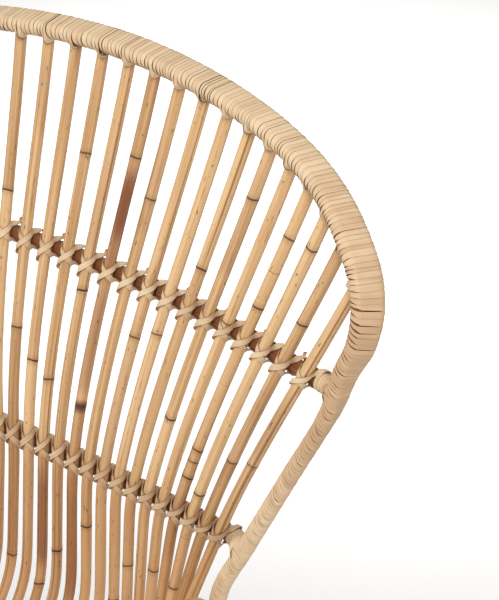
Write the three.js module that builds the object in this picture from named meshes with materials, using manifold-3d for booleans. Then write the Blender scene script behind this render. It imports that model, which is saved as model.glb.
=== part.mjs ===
// A rattan fan-back chair, often called a peacock chair. Twenty-four canes run in one length each from
// the hooped rim, down in front of two bowed back rails, round a bend behind the sitter and forward over
// the seat rails. Bent poles make the hoop, the arms with their front legs, and the rear legs.
import * as THREE from 'three';
import Module from 'manifold-3d';

// Driving dimensions in millimetres: x across the chair, y backwards, z up from the floor
const GAP = 0.3;
const CANE_COUNT = 24;
const CANE_RADIUS = 5.8;
const RAIL_RADIUS = 7.5;
const HOOP_RADIUS = 8.75;
const LEG_RADIUS = 11;
const SEAT_SIDE_RADIUS = 10;
const SEAT_CROSS_RADIUS = 9;
const STRETCHER_RADIUS = 8;

// The fan: half spreads, wrap round the sitter and set back, at the lower rail and at the rim. The lumbar
// bow is greatest a third of the way up; its peak factor makes it reach its full size there.
const FAN_FOOT_Z = 630;
const RAIL_RISE = { upper: 204, lower: -8 };
const LOW_SPREAD = 256;
const LOW_EASE = 7;
const LOW_WRAP = 13;
const TOP_SPREAD = 433;
const TOP_EASE = 32;
const TOP_SET_BACK = 116;
const TOP_WRAP = 93;
const TOP_RISE = 424;
const TOP_FALL = 73;
const TOP_SHOULDER = 49;
const TOP_DROP = 72;
const LUMBAR_BOW = 10;
const BOW_PEAK_FACTOR = 6.75;
const RAIL_OVERRUN_SHARE = 0.065;
const CANE_OVERRUN_SHARE = 0.05;
const CANE_TOP_SHARE = 0.985;

// The canes below the lower rail, their bend and the seat that they make
const BEND_DROP = 135;
const BEND_AHEAD = 8;
const BEND_INWARD = 20;
const BEND_FORWARD = 55;
const BEND_RADIUS = 105;
const SEAT_SLOPE = 0.035;
const SEAT_FRONT_Y = -502;
const SEAT_FLARE = 1.08;
const SEAT_RAIL_Y = { rear: -185, middle: -335, front: -480 };

// The rim's middle line below the last cane, on the right side. A row holds shares of the way from the
// hoop's foot to the last cane's top, across and backwards, and then of the rise to that top or, where it
// is less than nothing, of the canes' drop to their bend.
const HOOP_FOOT_X = 256;
const HOOP_FOOT_Y = -26;
const RIM_SIDE_SHARES = [
  [1.076, 0.837, 0.927], [1.097, 0.714, 0.863], [1.069, 0.633, 0.79], [0.972, 0.551, 0.695],
  [0.89, 0.449, 0.57], [0.566, 0.306, 0.29], [0.228, 0.163, 0], [0.028, 0.061, -0.43],
  [0, 0.02, -0.71], [0, 0, -1.26], [0, 0, -1.9],
];
const BACKER_LEAN = THREE.MathUtils.degToRad(20);
const BACKER_END_RISE = 218;
const BACKER_TAPER = 150;
const BACKER_FADE = 60;
const BACKER_TIP_RADIUS = 2.2;
const FAN_CENTRE_Y = 56;
const FAN_CENTRE_RISE = 150;

// Arm, and rear leg's bound top, on the right side, as x, y and rise over the fan's foot
const ARM_PATH = [
  [HOOP_FOOT_X, -46.5, -160], [HOOP_FOOT_X, -46.5, -134], [HOOP_FOOT_X, -46.5, -108], [265, -58, -64],
  [290, -128, -28], [315, -250, -9], [318, -375, -14], [309, -455, -40], [294, -500, -102],
];
const REAR_TOP_PATH = [[HOOP_FOOT_X, -5.5, -102], [HOOP_FOOT_X, -5.5, -130], [HOOP_FOOT_X, -5.5, -158]];

// The legs that carry them on, as x, y and z
const FRONT_LEG_PATH = [[287, -513, 400], [284, -514, 240], [283, -514, 30]];
const REAR_LEG_PATH = [[260, 12, 350], [266, 50, 180], [273, 86, 30]];
const SEAT_SIDE_ENDS = { rear: [274.5, 28], front: [284, -514] };
const SIDE_STRETCHER_Z = 160;
const CROSS_STRETCHER_Z = 125;

// Foot glides, and peel strips for the lashings and bindings
const GLIDE_RADIUS = 12.5;
const FOOT_Z = 12;
const STRIP_WIDTH = 4.4;
const STRIP_THICKNESS = 1.2;
const STRIP_CLEARANCE = 0.6;
const LASHING_RISE_RATIO = 0.9;
const LASHING_REACH = 10.5;
const LASHING_SLACK_RATIO = { cane: 1.04, rail: 1.16 };
const LASHING_DEGREES = { behind: [180], below: [228, 280], across: [-64, -32, 0, 32, 64], above: [80, 132] };
const BINDING_LOOPS = 6;
const BINDING_PITCH = 6;
const BINDING_FOOT_RISE = -154;
const BINDING_SLACK_RATIO = 1.04;
const WRAP_LENGTH = { upper: 8.4, lower: 5.2 };
const WRAP_THICKNESS = 1.2;
const WRAP_HOOP_DISTANCE = 15;

// Facet counts
const CANE_SIDES = 8;
const POLE_SIDES = 10;
const HOOP_STEPS = 76;
const ARM_STEPS = 30;
const LEG_STEPS = 12;
const BEND_STEPS = 5;
const STEPS_TO_RAIL = 3;
const BINDING_STEPS = 12;
const GLIDE_SIDES = 16;

const PEEL = { color: 0xd9b77f, roughness: 0.55, metalness: 0 };
const CANE = { color: 0xc89f66, roughness: 0.45, metalness: 0 };
const DARK_RATTAN = { color: 0x70401f, roughness: 0.5, metalness: 0 };
const RUBBER = { color: 0x2b2724, roughness: 0.8, metalness: 0 };

const SIDES = { left: -1, right: 1 };
const SMALL_SHARE = 0.01;
const BACKWARDS = new THREE.Vector3(0, 1, 0);
const SIDEWAYS = new THREE.Vector3(1, 0, 0);
const UPWARDS = new THREE.Vector3(0, 0, 1);
const DOWNWARDS = new THREE.Vector3(0, 0, -1);

const wasm = await Module();
wasm.setup();
const model = new THREE.Group();

function point(x, y, z) {
  return new THREE.Vector3(x, y, z);
}

const fanCentre = point(0, FAN_CENTRE_Y, FAN_FOOT_Z + FAN_CENTRE_RISE);

function addPiece(name, geometry, finish) {
  const mesh = new THREE.Mesh(geometry, new THREE.MeshStandardMaterial(finish));
  mesh.name = name;
  model.add(mesh);
}

// A regular polygon, flat side towards the normal, round a circle of radius 1
function polygon(sides) {
  const reach = 1 / Math.cos(Math.PI / sides);
  return Array.from({ length: sides }, (_, k) => {
    const angle = (2 * Math.PI * (k + 0.5)) / sides;
    return [reach * Math.cos(angle), reach * Math.sin(angle)];
  });
}

function tangentAt(path, i) {
  const ahead = path[Math.min(i + 1, path.length - 1)];
  const behind = path[Math.max(i - 1, 0)];
  return ahead.clone().sub(behind).normalize();
}

function squareTo(direction, tangent) {
  return direction.clone().addScaledVector(tangent, -direction.dot(tangent)).normalize();
}

// A closed body swept along a path; each step has a normal and a scale for the outline's two axes
function sweep(path, normalAt, outline, scaleAt) {
  const vertices = [];
  path.forEach((centre, i) => {
    const tangent = tangentAt(path, i);
    const normal = squareTo(normalAt(i), tangent);
    const side = tangent.clone().cross(normal);
    const scale = scaleAt(i);
    for (const [along, across] of outline) {
      const corner = centre.clone().addScaledVector(normal, along * scale);
      vertices.push(...corner.addScaledVector(side, across * scale).toArray());
    }
  });
  const count = outline.length;
  const last = (path.length - 1) * count;
  const triangles = [];
  for (let ring = 0; ring < path.length - 1; ring += 1) {
    for (let k = 0; k < count; k += 1) {
      const a = ring * count + k;
      const b = ring * count + ((k + 1) % count);
      triangles.push(a, b, b + count, a, b + count, a + count);
    }
  }
  for (let k = 1; k < count - 1; k += 1) {
    triangles.push(0, k + 1, k, last, last + k, last + k + 1);
  }
  const geometry = new THREE.BufferGeometry();
  geometry.setAttribute('position', new THREE.Float32BufferAttribute(vertices, 3));
  geometry.setIndex(new THREE.Uint32BufferAttribute(triangles, 1));
  geometry.computeVertexNormals();
  return geometry;
}

function pole(path, radius, sides = POLE_SIDES, normal = BACKWARDS) {
  return sweep(path, () => normal, polygon(sides), () => radius);
}

function strip(path, normals) {
  const half = [STRIP_THICKNESS / 2, STRIP_WIDTH / 2];
  const outline = [[half[0], -half[1]], [half[0], half[1]], [-half[0], half[1]], [-half[0], -half[1]]];
  return sweep(path, (i) => normals[i], outline, () => 1);
}

function solidOf(geometry) {
  const vertProperties = new Float32Array(geometry.attributes.position.array);
  const triVerts = new Uint32Array(geometry.index.array);
  return new wasm.Manifold(new wasm.Mesh({ numProp: 3, vertProperties, triVerts }));
}

// The piece with its ends or sides coped to fit the neighbours
function coped(piece, ...neighbours) {
  const solid = neighbours.reduce((rest, other) => rest.subtract(solidOf(other)), solidOf(piece));
  const mesh = solid.getMesh();
  const geometry = new THREE.BufferGeometry();
  geometry.setAttribute('position', new THREE.Float32BufferAttribute(mesh.vertProperties, 3));
  geometry.setIndex(new THREE.Uint32BufferAttribute(mesh.triVerts, 1));
  geometry.computeVertexNormals();
  return geometry;
}

function smoothPath(points, steps) {
  return new THREE.CatmullRomCurve3(points, false, 'centripetal').getSpacedPoints(steps);
}

function onSide(points, side) {
  return points.map(([x, y, z]) => point(side * x, y, z));
}

// A pole bent from the fan into a leg whose last stretch stands square on the floor
function legPath(fanPoints, legPoints, side, steps) {
  const upper = fanPoints.map(([x, y, rise]) => [x, y, FAN_FOOT_Z + rise]);
  const bent = smoothPath(onSide([...upper, ...legPoints], side), steps);
  const { x, y } = bent[bent.length - 1];
  return [...bent, point(x, y, FOOT_Z)];
}

// Places on the fan: f runs from -1 at the first cane to 1 at the last, t from the lower rail to the rim
function caneLow(f) {
  return point(LOW_SPREAD * f - LOW_EASE * f ** 3, -LOW_WRAP * f ** 2, FAN_FOOT_Z);
}

function caneTop(f) {
  const rise = TOP_RISE - TOP_FALL * f ** 2 + TOP_SHOULDER * f ** 4 - TOP_DROP * f ** 6;
  return point(TOP_SPREAD * f - TOP_EASE * f ** 3, TOP_SET_BACK - TOP_WRAP * f ** 2, FAN_FOOT_Z + rise);
}

function fanPoint(f, t) {
  const place = caneLow(f).lerp(caneTop(f), t);
  place.y -= LUMBAR_BOW * BOW_PEAK_FACTOR * t * (1 - t) ** 2;
  return place;
}

function shareAtRise(f, rise) {
  return rise / (caneTop(f).z - FAN_FOOT_Z);
}

// The frame where a cane crosses a rail: along the rail, up across it, along the cane and back through both
function crossing(f, rise) {
  const at = (g) => fanPoint(g, shareAtRise(g, rise));
  const share = shareAtRise(f, rise);
  const along = at(f + SMALL_SHARE).sub(at(f - SMALL_SHARE)).normalize();
  const cane = fanPoint(f, share + SMALL_SHARE).sub(fanPoint(f, share - SMALL_SHARE)).normalize();
  const up = squareTo(cane, along);
  return { centre: at(f), along, up, cane, back: up.clone().cross(along) };
}

function caneShare(index) {
  return (2 * index) / (CANE_COUNT - 1) - 1;
}

const caneShares = Array.from({ length: CANE_COUNT }, (_, index) => caneShare(index));
const railShares = [-1 - RAIL_OVERRUN_SHARE, ...caneShares, 1 + RAIL_OVERRUN_SHARE];

// The rim: its middle line follows the cane tops, and its sides run down to the seat
function rimSide(side) {
  const top = caneTop(1);
  return RIM_SIDE_SHARES.map(([across, backwards, upwards]) => {
    const x = THREE.MathUtils.lerp(HOOP_FOOT_X, top.x, across);
    const y = THREE.MathUtils.lerp(HOOP_FOOT_Y, top.y, backwards);
    const rise = upwards > 0 ? upwards * (top.z - FAN_FOOT_Z) : upwards * BEND_DROP;
    return point(side * x, y, FAN_FOOT_Z + rise);
  });
}
const rimTop = caneShares.map((f) => caneTop(f));
const rimLine = smoothPath([...rimSide(-1).reverse(), ...rimTop, ...rimSide(1)], HOOP_STEPS);

// From the hoop's pole towards the backer: straight back from the fan and a little outwards
const rimAway = rimLine.map((place, i) => {
  const tangent = tangentAt(rimLine, i);
  const outward = squareTo(place.clone().sub(fanCentre), tangent);
  const back = outward.clone().cross(tangent);
  return back.multiplyScalar(Math.cos(BACKER_LEAN)).addScaledVector(outward, Math.sin(BACKER_LEAN));
});

// The backer's radius along the rim, tapered to its tips and then faded out past them
const rimRun = [0];
rimLine.slice(1).forEach((place, i) => rimRun.push(rimRun[i] + place.distanceTo(rimLine[i])));
const backerSteps = rimLine.map((_, i) => i).filter((i) => rimLine[i].z > FAN_FOOT_Z + BACKER_END_RISE);
const backerSpan = [backerSteps[0], backerSteps[backerSteps.length - 1]].map((i) => rimRun[i]);
const backerRadii = rimRun.map((run) => {
  const inside = Math.min(run - backerSpan[0], backerSpan[1] - run);
  const fullness = Math.sin((THREE.MathUtils.clamp(inside / BACKER_TAPER, 0, 1) * Math.PI) / 2);
  const fade = THREE.MathUtils.clamp(1 + inside / BACKER_FADE, 0, 1);
  return fade * THREE.MathUtils.lerp(BACKER_TIP_RADIUS, HOOP_RADIUS, fullness);
});

// The hoop in front and the backer behind it lie on either side of the rim's middle line
function besideRim(i, distance) {
  return rimLine[i].clone().addScaledVector(rimAway[i], distance);
}
const hoopPath = rimLine.map((_, i) => besideRim(i, -backerRadii[i] - GAP / 2));
const backerPath = backerSteps.map((i) => besideRim(i, HOOP_RADIUS + GAP / 2));

function hoopBody(allowance) {
  return sweep(hoopPath, (i) => rimAway[i], polygon(POLE_SIDES), () => HOOP_RADIUS + allowance);
}

function backerBody(allowance) {
  const normalAt = (k) => rimAway[backerSteps[k]];
  return sweep(backerPath, normalAt, polygon(POLE_SIDES), (k) => backerRadii[backerSteps[k]] + allowance);
}

const hoopCutter = hoopBody(GAP);
const backerCutter = backerBody(GAP);
addPiece('hoop_pole', hoopBody(0), PEEL);
addPiece('hoop_backer', backerBody(0), PEEL);

// One cane: front of the seat, back to the bend, up past the lower rail and on to the rim
function seatHeight(y) {
  return FAN_FOOT_Z - BEND_DROP - BEND_RADIUS - SEAT_SLOPE * (y + BEND_RADIUS);
}

function canePiece(f) {
  const low = caneLow(f);
  const bendX = low.x - BEND_INWARD * f ** 3;
  const bendY = low.y - BEND_AHEAD - BEND_FORWARD * f ** 4 - BEND_RADIUS;
  const path = [point(bendX * SEAT_FLARE, SEAT_FRONT_Y, seatHeight(SEAT_FRONT_Y))];
  const normals = [DOWNWARDS];
  for (let k = 0; k <= BEND_STEPS; k += 1) {
    const angle = (k / BEND_STEPS) * (Math.PI / 2);
    const y = bendY + BEND_RADIUS * Math.sin(angle);
    path.push(point(bendX, y, seatHeight(bendY) + BEND_RADIUS * (1 - Math.cos(angle))));
    normals.push(point(0, Math.sin(angle), -Math.cos(angle)));
  }
  const railShare = shareAtRise(f, RAIL_RISE.upper);
  const toRail = Array.from({ length: STEPS_TO_RAIL }, (_, k) => (railShare * k) / STEPS_TO_RAIL);
  const halfway = (railShare + CANE_TOP_SHARE) / 2;
  [-CANE_OVERRUN_SHARE, ...toRail, railShare, halfway, CANE_TOP_SHARE].forEach((t) => {
    path.push(fanPoint(f, t));
    normals.push(crossing(f, t * (caneTop(f).z - FAN_FOOT_Z)).back);
  });
  const body = sweep(path, (i) => normals[i], polygon(CANE_SIDES), () => CANE_RADIUS);
  return coped(body, hoopCutter, backerCutter);
}
caneShares.forEach((f, index) => {
  addPiece(`cane_${String(index + 1).padStart(2, '0')}`, canePiece(f), CANE);
});

// A bowed back rail, tangent behind every cane, its ends coped to the hoop
function hoopAtHeight(z, side) {
  const reached = hoopPath.filter((place) => place.x * side > 0);
  return reached.reduce((best, place) => (Math.abs(place.z - z) < Math.abs(best.z - z) ? place : best));
}

function railPath(rise) {
  const behind = railShares.map((f) => {
    const { centre, back } = crossing(f, rise);
    return centre.addScaledVector(back, CANE_RADIUS + RAIL_RADIUS + GAP);
  });
  const z = FAN_FOOT_Z + rise;
  return [hoopAtHeight(z, -1), ...behind, hoopAtHeight(z, 1)];
}

// A short peel wrap on a rail's end, between the hoop and the last cane's lashing
function wrapPiece(path, side, length, bore) {
  const [hoop, overrun, lastCane] = side < 0 ? path : [...path].reverse();
  const bend = overrun.distanceTo(hoop);
  const span = bend + overrun.distanceTo(lastCane);
  const placeAt = (distance) => (distance < bend
    ? hoop.clone().lerp(overrun, distance / bend)
    : overrun.clone().lerp(lastCane, (distance - bend) / (span - bend)));
  const far = WRAP_HOOP_DISTANCE + length;
  const stops = [WRAP_HOOP_DISTANCE, bend, far].filter((distance) => distance <= far);
  const axis = [...new Set(stops)].sort((a, b) => a - b).map(placeAt);
  return coped(pole(axis, RAIL_RADIUS + GAP + WRAP_THICKNESS), bore, hoopCutter);
}

// The lashing: one strip wound along a rail, a slanting turn over every cane and down behind the rail
function lashingPath(rise) {
  const frames = caneShares.map((f) => crossing(f, rise));
  const lift = STRIP_CLEARANCE + STRIP_THICKNESS / 2;
  const caneReach = (CANE_RADIUS / Math.cos(Math.PI / CANE_SIDES) + lift) * LASHING_SLACK_RATIO.cane;
  const railReach = (RAIL_RADIUS / Math.cos(Math.PI / POLE_SIDES) + lift) * LASHING_SLACK_RATIO.rail;
  const railDepth = CANE_RADIUS + RAIL_RADIUS + GAP;
  const turn = [];
  const overCane = ({ centre, along, cane, back }, degrees) => {
    const angle = THREE.MathUtils.degToRad(degrees);
    const normal = squareTo(along, cane).multiplyScalar(Math.sin(angle))
      .addScaledVector(back, -Math.cos(angle));
    const rise = LASHING_RISE_RATIO * caneReach * Math.sin(angle);
    turn.push([centre.clone().addScaledVector(normal, caneReach).addScaledVector(cane, rise), normal]);
  };
  const roundRail = ({ centre, along, up, cane, back }, degrees, reach) => {
    const angle = THREE.MathUtils.degToRad(degrees);
    const normal = up.clone().multiplyScalar(Math.sin(angle)).addScaledVector(back, -Math.cos(angle));
    const lean = (cane.dot(along) / cane.dot(up)) * railReach * Math.sin(angle);
    const axis = centre.clone().addScaledVector(back, railDepth).addScaledVector(along, reach + lean);
    turn.push([axis.addScaledVector(normal, railReach), normal]);
  };
  frames.forEach((frame, index) => {
    const before = frames[index - 1];
    if (before) {
      const halfPitch = before.centre.distanceTo(frame.centre) / 2;
      LASHING_DEGREES.behind.forEach((degrees) => roundRail(frame, degrees, -halfPitch));
    }
    LASHING_DEGREES.below.forEach((degrees) => roundRail(frame, degrees, -LASHING_REACH));
    LASHING_DEGREES.across.forEach((degrees) => overCane(frame, degrees));
    LASHING_DEGREES.above.forEach((degrees) => roundRail(frame, degrees, LASHING_REACH));
  });
  return turn;
}

// The least clear distance between two turns of a winding, taken on its points
function printLeastGap(name, path, pointsPerTurn) {
  let least = Infinity;
  path.forEach((a, i) => {
    path.slice(i + Math.round(pointsPerTurn / 2)).forEach((b) => {
      least = Math.min(least, a.distanceTo(b) - STRIP_WIDTH);
    });
  });
  console.log(`${name}: least gap to itself ${least.toFixed(2)} mm`);
}

Object.entries(RAIL_RISE).forEach(([level, rise]) => {
  const path = railPath(rise);
  const normals = [-1, ...railShares, 1].map((f) => crossing(f, rise).back);
  const rail = (radius) => sweep(path, (i) => normals[i], polygon(POLE_SIDES), () => radius);
  addPiece(`${level}_rail`, coped(rail(RAIL_RADIUS), hoopCutter), DARK_RATTAN);
  Object.entries(SIDES).forEach(([name, side]) => {
    const wrap = wrapPiece(path, side, WRAP_LENGTH[level], rail(RAIL_RADIUS + GAP));
    addPiece(`${level}_rail_wrap_${name}`, wrap, PEEL);
  });
  const turns = lashingPath(rise);
  const places = turns.map(([place]) => place);
  printLeastGap(`${level}_lashing`, places, turns.length / CANE_COUNT);
  addPiece(`${level}_lashing`, strip(places, turns.map(([, normal]) => normal)), PEEL);
});

// The poles under the seat and beside it, with every end coped to what it meets
function sideHeight(y) {
  return seatHeight(y) - CANE_RADIUS - SEAT_CROSS_RADIUS - GAP;
}

function bindingPiece(name, side) {
  const [armX, armY] = ARM_PATH[0];
  const legY = REAR_TOP_PATH[0][1];
  const legCorner = LEG_RADIUS / Math.cos(Math.PI / POLE_SIDES);
  const reach = (legCorner + STRIP_CLEARANCE + STRIP_THICKNESS) * BINDING_SLACK_RATIO;
  const path = [];
  const normals = [];
  const steps = BINDING_LOOPS * BINDING_STEPS;
  for (let k = 0; k <= steps; k += 1) {
    const angle = ((k + 0.5) / BINDING_STEPS) * 2 * Math.PI;
    const normal = point(side * Math.cos(angle), Math.sin(angle), 0);
    const end = normal.y > 0 ? legY : armY;
    const z = FAN_FOOT_Z + BINDING_FOOT_RISE + BINDING_PITCH * (k / BINDING_STEPS);
    path.push(point(side * armX + reach * normal.x, end + reach * normal.y, z));
    normals.push(normal);
  }
  printLeastGap(name, path, BINDING_STEPS);
  return strip(path, normals);
}

const legPaths = {};
Object.entries(SIDES).forEach(([name, side]) => {
  const arm = legPath(ARM_PATH, FRONT_LEG_PATH, side, ARM_STEPS);
  const rearLeg = legPath(REAR_TOP_PATH, REAR_LEG_PATH, side, LEG_STEPS);
  legPaths[name] = { arm, rearLeg };
  addPiece(`arm_${name}`, coped(pole(arm, LEG_RADIUS, POLE_SIDES, SIDEWAYS), hoopCutter), CANE);
  addPiece(`rear_leg_${name}`, coped(pole(rearLeg, LEG_RADIUS, POLE_SIDES, SIDEWAYS), hoopCutter), CANE);
  addPiece(`hoop_binding_${name}`, bindingPiece(`hoop_binding_${name}`, side), PEEL);
});

function cutterFor(path) {
  return pole(path, LEG_RADIUS + GAP, POLE_SIDES, SIDEWAYS);
}

function atHeight(path, z) {
  const above = path.findIndex((place) => place.z < z);
  const [high, low] = [path[above - 1], path[above]];
  return high.clone().lerp(low, (high.z - z) / (high.z - low.z));
}

function legAt(name, end, z) {
  const { arm, rearLeg } = legPaths[name];
  const lowerArm = arm.slice(Math.round(arm.length / 2));
  return end === 'front' ? atHeight(lowerArm, z) : atHeight(rearLeg, z);
}

const sidePaths = {};
Object.entries(SIDES).forEach(([name, side]) => {
  const { arm, rearLeg } = legPaths[name];
  const legCutters = [cutterFor(arm), cutterFor(rearLeg)];
  const ends = Object.values(SEAT_SIDE_ENDS);
  sidePaths[name] = ends.map(([x, y]) => point(side * x, y, sideHeight(y)));
  const body = pole(sidePaths[name], SEAT_SIDE_RADIUS, POLE_SIDES, UPWARDS);
  addPiece(`seat_side_${name}`, coped(body, hoopCutter, ...legCutters), CANE);
  const ties = ['front', 'rear'].map((end) => legAt(name, end, SIDE_STRETCHER_Z));
  const stretcher = pole(ties, STRETCHER_RADIUS, CANE_SIDES, UPWARDS);
  addPiece(`side_stretcher_${name}`, coped(stretcher, ...legCutters), CANE);
});

Object.entries(SEAT_RAIL_Y).forEach(([name, y]) => {
  const ends = Object.values(sidePaths).map(([rear, front]) => {
    return rear.clone().lerp(front, (rear.y - y) / (rear.y - front.y));
  });
  const cutters = Object.values(sidePaths).map((path) => {
    return pole(path, SEAT_SIDE_RADIUS + GAP, POLE_SIDES, UPWARDS);
  });
  const rail = pole(ends, SEAT_CROSS_RADIUS, POLE_SIDES, UPWARDS);
  addPiece(`seat_rail_${name}`, coped(rail, ...cutters), DARK_RATTAN);
});

['front', 'rear'].forEach((end) => {
  const ends = Object.keys(SIDES).map((name) => legAt(name, end, CROSS_STRETCHER_Z));
  const cutters = Object.values(legPaths).map(({ arm, rearLeg }) => {
    return cutterFor(end === 'front' ? arm : rearLeg);
  });
  const stretcher = pole(ends, STRETCHER_RADIUS, CANE_SIDES, UPWARDS);
  addPiece(`${end}_stretcher`, coped(stretcher, ...cutters), CANE);
});

Object.entries(legPaths).forEach(([name, { arm, rearLeg }]) => {
  Object.entries({ front: arm, rear: rearLeg }).forEach(([end, path]) => {
    const foot = path[path.length - 1];
    const height = FOOT_Z - GAP;
    const glide = new THREE.CylinderGeometry(GLIDE_RADIUS, GLIDE_RADIUS, height, GLIDE_SIDES);
    glide.rotateX(Math.PI / 2);
    glide.translate(foot.x, foot.y, height / 2);
    addPiece(`foot_glide_${end}_${name}`, glide, RUBBER);
  });
});

// The origin is on the floor under the middle of the chair
const chair = new THREE.Group();
chair.add(model);
const bounds = new THREE.Box3().setFromObject(model);
const middle = bounds.getCenter(point(0, 0, 0));
model.position.set(-middle.x, -middle.y, -bounds.min.z);

export default chair;
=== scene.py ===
"""The looks of a rattan fan-back chair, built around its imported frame.

Every cane, pole, rail, peel winding and lashing is made as its own mesh where the frame has it. Sizes are
in millimetres until a mesh is written, and x runs across the chair, y backwards and z up from the floor.
"""

from __future__ import annotations

import logging
import math
from dataclasses import dataclass, field
from enum import Enum
from typing import Any, Sequence

import bpy
import numpy as np

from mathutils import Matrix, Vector


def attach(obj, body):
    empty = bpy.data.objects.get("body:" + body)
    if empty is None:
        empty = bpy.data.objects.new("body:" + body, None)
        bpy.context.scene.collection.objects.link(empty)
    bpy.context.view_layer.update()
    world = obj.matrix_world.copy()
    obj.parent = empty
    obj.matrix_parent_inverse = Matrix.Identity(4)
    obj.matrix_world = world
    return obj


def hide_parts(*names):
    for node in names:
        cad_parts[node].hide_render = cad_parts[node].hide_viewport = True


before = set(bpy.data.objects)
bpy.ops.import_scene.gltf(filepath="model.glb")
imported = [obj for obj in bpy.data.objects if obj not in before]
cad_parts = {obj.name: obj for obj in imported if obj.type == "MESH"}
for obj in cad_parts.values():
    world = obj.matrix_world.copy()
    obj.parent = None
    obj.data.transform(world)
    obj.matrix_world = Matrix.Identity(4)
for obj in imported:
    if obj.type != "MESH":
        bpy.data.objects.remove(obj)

Colour = tuple[float, float, float, float]

LOG = logging.getLogger("fan_chair")
MM = 0.001
ROOT = "root"
ACROSS = np.array([1.0, 0.0, 0.0])
BACKWARDS = np.array([0.0, 1.0, 0.0])
UPWARDS = np.array([0.0, 0.0, 1.0])
# The gap between two poles that lie against each other, in millimetres.
GAP = 0.3
# A direction whose upward part is at least this is steep.
STEEP = 0.9
# Points on each stretch of a bent pole's curve, and on a straight pole.
CURVE_POINTS = 24
STRAIGHT_POINTS = 12
# A strip's four sides, with 1 for the two that are cut. The peel's finish paints these two dark, a painted
# shade along the strips' edges and in the slits between turns.
STRIP_SIDES = (0.0, 1.0, 0.0, 1.0)
# How far the fibres' pattern moves with a strip's tone, and from stick to stick until it comes round again.
STRIP_SHIFT = 31.0
STICK_SHIFT = 1700.0
STICK_PATTERNS = 97
# The distance to the nearest knot on a pole that has none, in millimetres.
FAR_FROM_KNOT = 100.0


class Slot(Enum):
    """The record's material slots."""

    CANE = "cane"
    POLE = "pole"
    PEEL = "peel"
    DARK_RATTAN = "dark_rattan"


class Side(Enum):
    """The two sides of the chair, with the sign of x."""

    LEFT = -1
    RIGHT = 1


class Level(Enum):
    """The two back rails, with their rise over the fan's foot."""

    UPPER = 204.0
    LOWER = -8.0


def unit(vectors: np.ndarray) -> np.ndarray:
    """Vectors scaled to length 1."""
    return vectors / np.linalg.norm(vectors, axis=-1, keepdims=True)


def dot(a: np.ndarray, b: np.ndarray) -> np.ndarray:
    """Row by row dot product, kept as a column."""
    return np.sum(a * b, axis=-1, keepdims=True)


def square_to(vectors: np.ndarray, tangents: np.ndarray) -> np.ndarray:
    """The part of each vector that is square to its tangent, at length 1."""
    return unit(vectors - dot(vectors, tangents) * tangents)


def tangents_of(path: np.ndarray) -> np.ndarray:
    """Unit tangents along a path."""
    return unit(np.gradient(path, axis=0))


def run_of(path: np.ndarray) -> np.ndarray:
    """The distance from the path's start to each of its points."""
    steps = np.linalg.norm(np.diff(path, axis=0), axis=1)
    return np.concatenate([[0.0], np.cumsum(steps)])


def carried(path: np.ndarray, values: np.ndarray, distances: np.ndarray) -> np.ndarray:
    """Vectors that are kept for a path's points, at given distances along it."""
    run = run_of(path)
    return np.stack([np.interp(distances, run, values[:, k]) for k in range(values.shape[1])], axis=-1)


def along_path(path: np.ndarray, distances: np.ndarray) -> np.ndarray:
    """The places at given distances along a path."""
    return carried(path, path, distances)


def turned(normals: np.ndarray, sideways: np.ndarray, angles: np.ndarray) -> np.ndarray:
    """For each point of a path, a ring of directions at given angles from its normal."""
    return np.cos(angles)[:, None] * normals[:, None] + np.sin(angles)[:, None] * sideways[:, None]


def facing(first: np.ndarray, second: np.ndarray, angles: np.ndarray) -> np.ndarray:
    """For each point of a path, one direction at its own angle from the first towards the second."""
    return np.cos(angles)[:, None] * first + np.sin(angles)[:, None] * second


def all_round(sides: int) -> np.ndarray:
    """Angles spaced evenly round a circle."""
    return np.arange(sides) * (2 * math.pi / sides)


def bell(offsets: np.ndarray, reach: float | np.ndarray) -> np.ndarray:
    """A smooth hump, 1 at no offset and falling off past its reach."""
    return np.exp(-((offsets / reach) ** 2))


def reference_for(direction: np.ndarray) -> np.ndarray:
    """A direction that a pole never runs along: upwards, or across for a steep pole."""
    return UPWARDS if abs(direction[2]) < STEEP else ACROSS


def trimmed(start: np.ndarray, end: np.ndarray, inset: float) -> np.ndarray:
    """A straight line between two poles' middle lines, cut back to their surfaces."""
    direction = unit(end - start)
    return np.linspace(start + direction * inset, end - direction * inset, STRAIGHT_POINTS)


def at_height(path: np.ndarray, z: float) -> np.ndarray:
    """The place at a height on the lower part of a leg's path."""
    lower = path[np.argmax(path[:, 2]) :]
    return np.array([np.interp(-z, -lower[:, 2], lower[:, k]) for k in range(3)])


def evenly(path: np.ndarray, step: float) -> np.ndarray:
    """The same path with even steps.

    Args:
        path: Points along the path.
        step: About how far apart the new points are, in millimetres.

    Returns:
        Evenly spaced points.
    """
    length = run_of(path)[-1]
    count = max(2, int(round(length / step)) + 1)
    return along_path(path, np.linspace(0.0, length, count))


def eased(path: np.ndarray, reach: float) -> np.ndarray:
    """The same path with its corners rounded and its two ends kept.

    Args:
        path: Points along the path.
        reach: How far each way a point takes the mean of its neighbours, in millimetres.

    Returns:
        Evenly spaced points of the rounded path.
    """
    step = 3.0
    even = evenly(path, step)
    half = int(round(2 * reach / step))
    weights = np.exp(-0.5 * (np.arange(-half, half + 1) * step / reach) ** 2)
    before = 2 * even[0] - even[half:0:-1]
    after = 2 * even[-1] - even[-2 : -half - 2 : -1]
    longer = np.concatenate([before, even, after])
    columns = [np.convolve(longer[:, k], weights / weights.sum(), mode="valid") for k in range(3)]
    return np.stack(columns, axis=-1)


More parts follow.
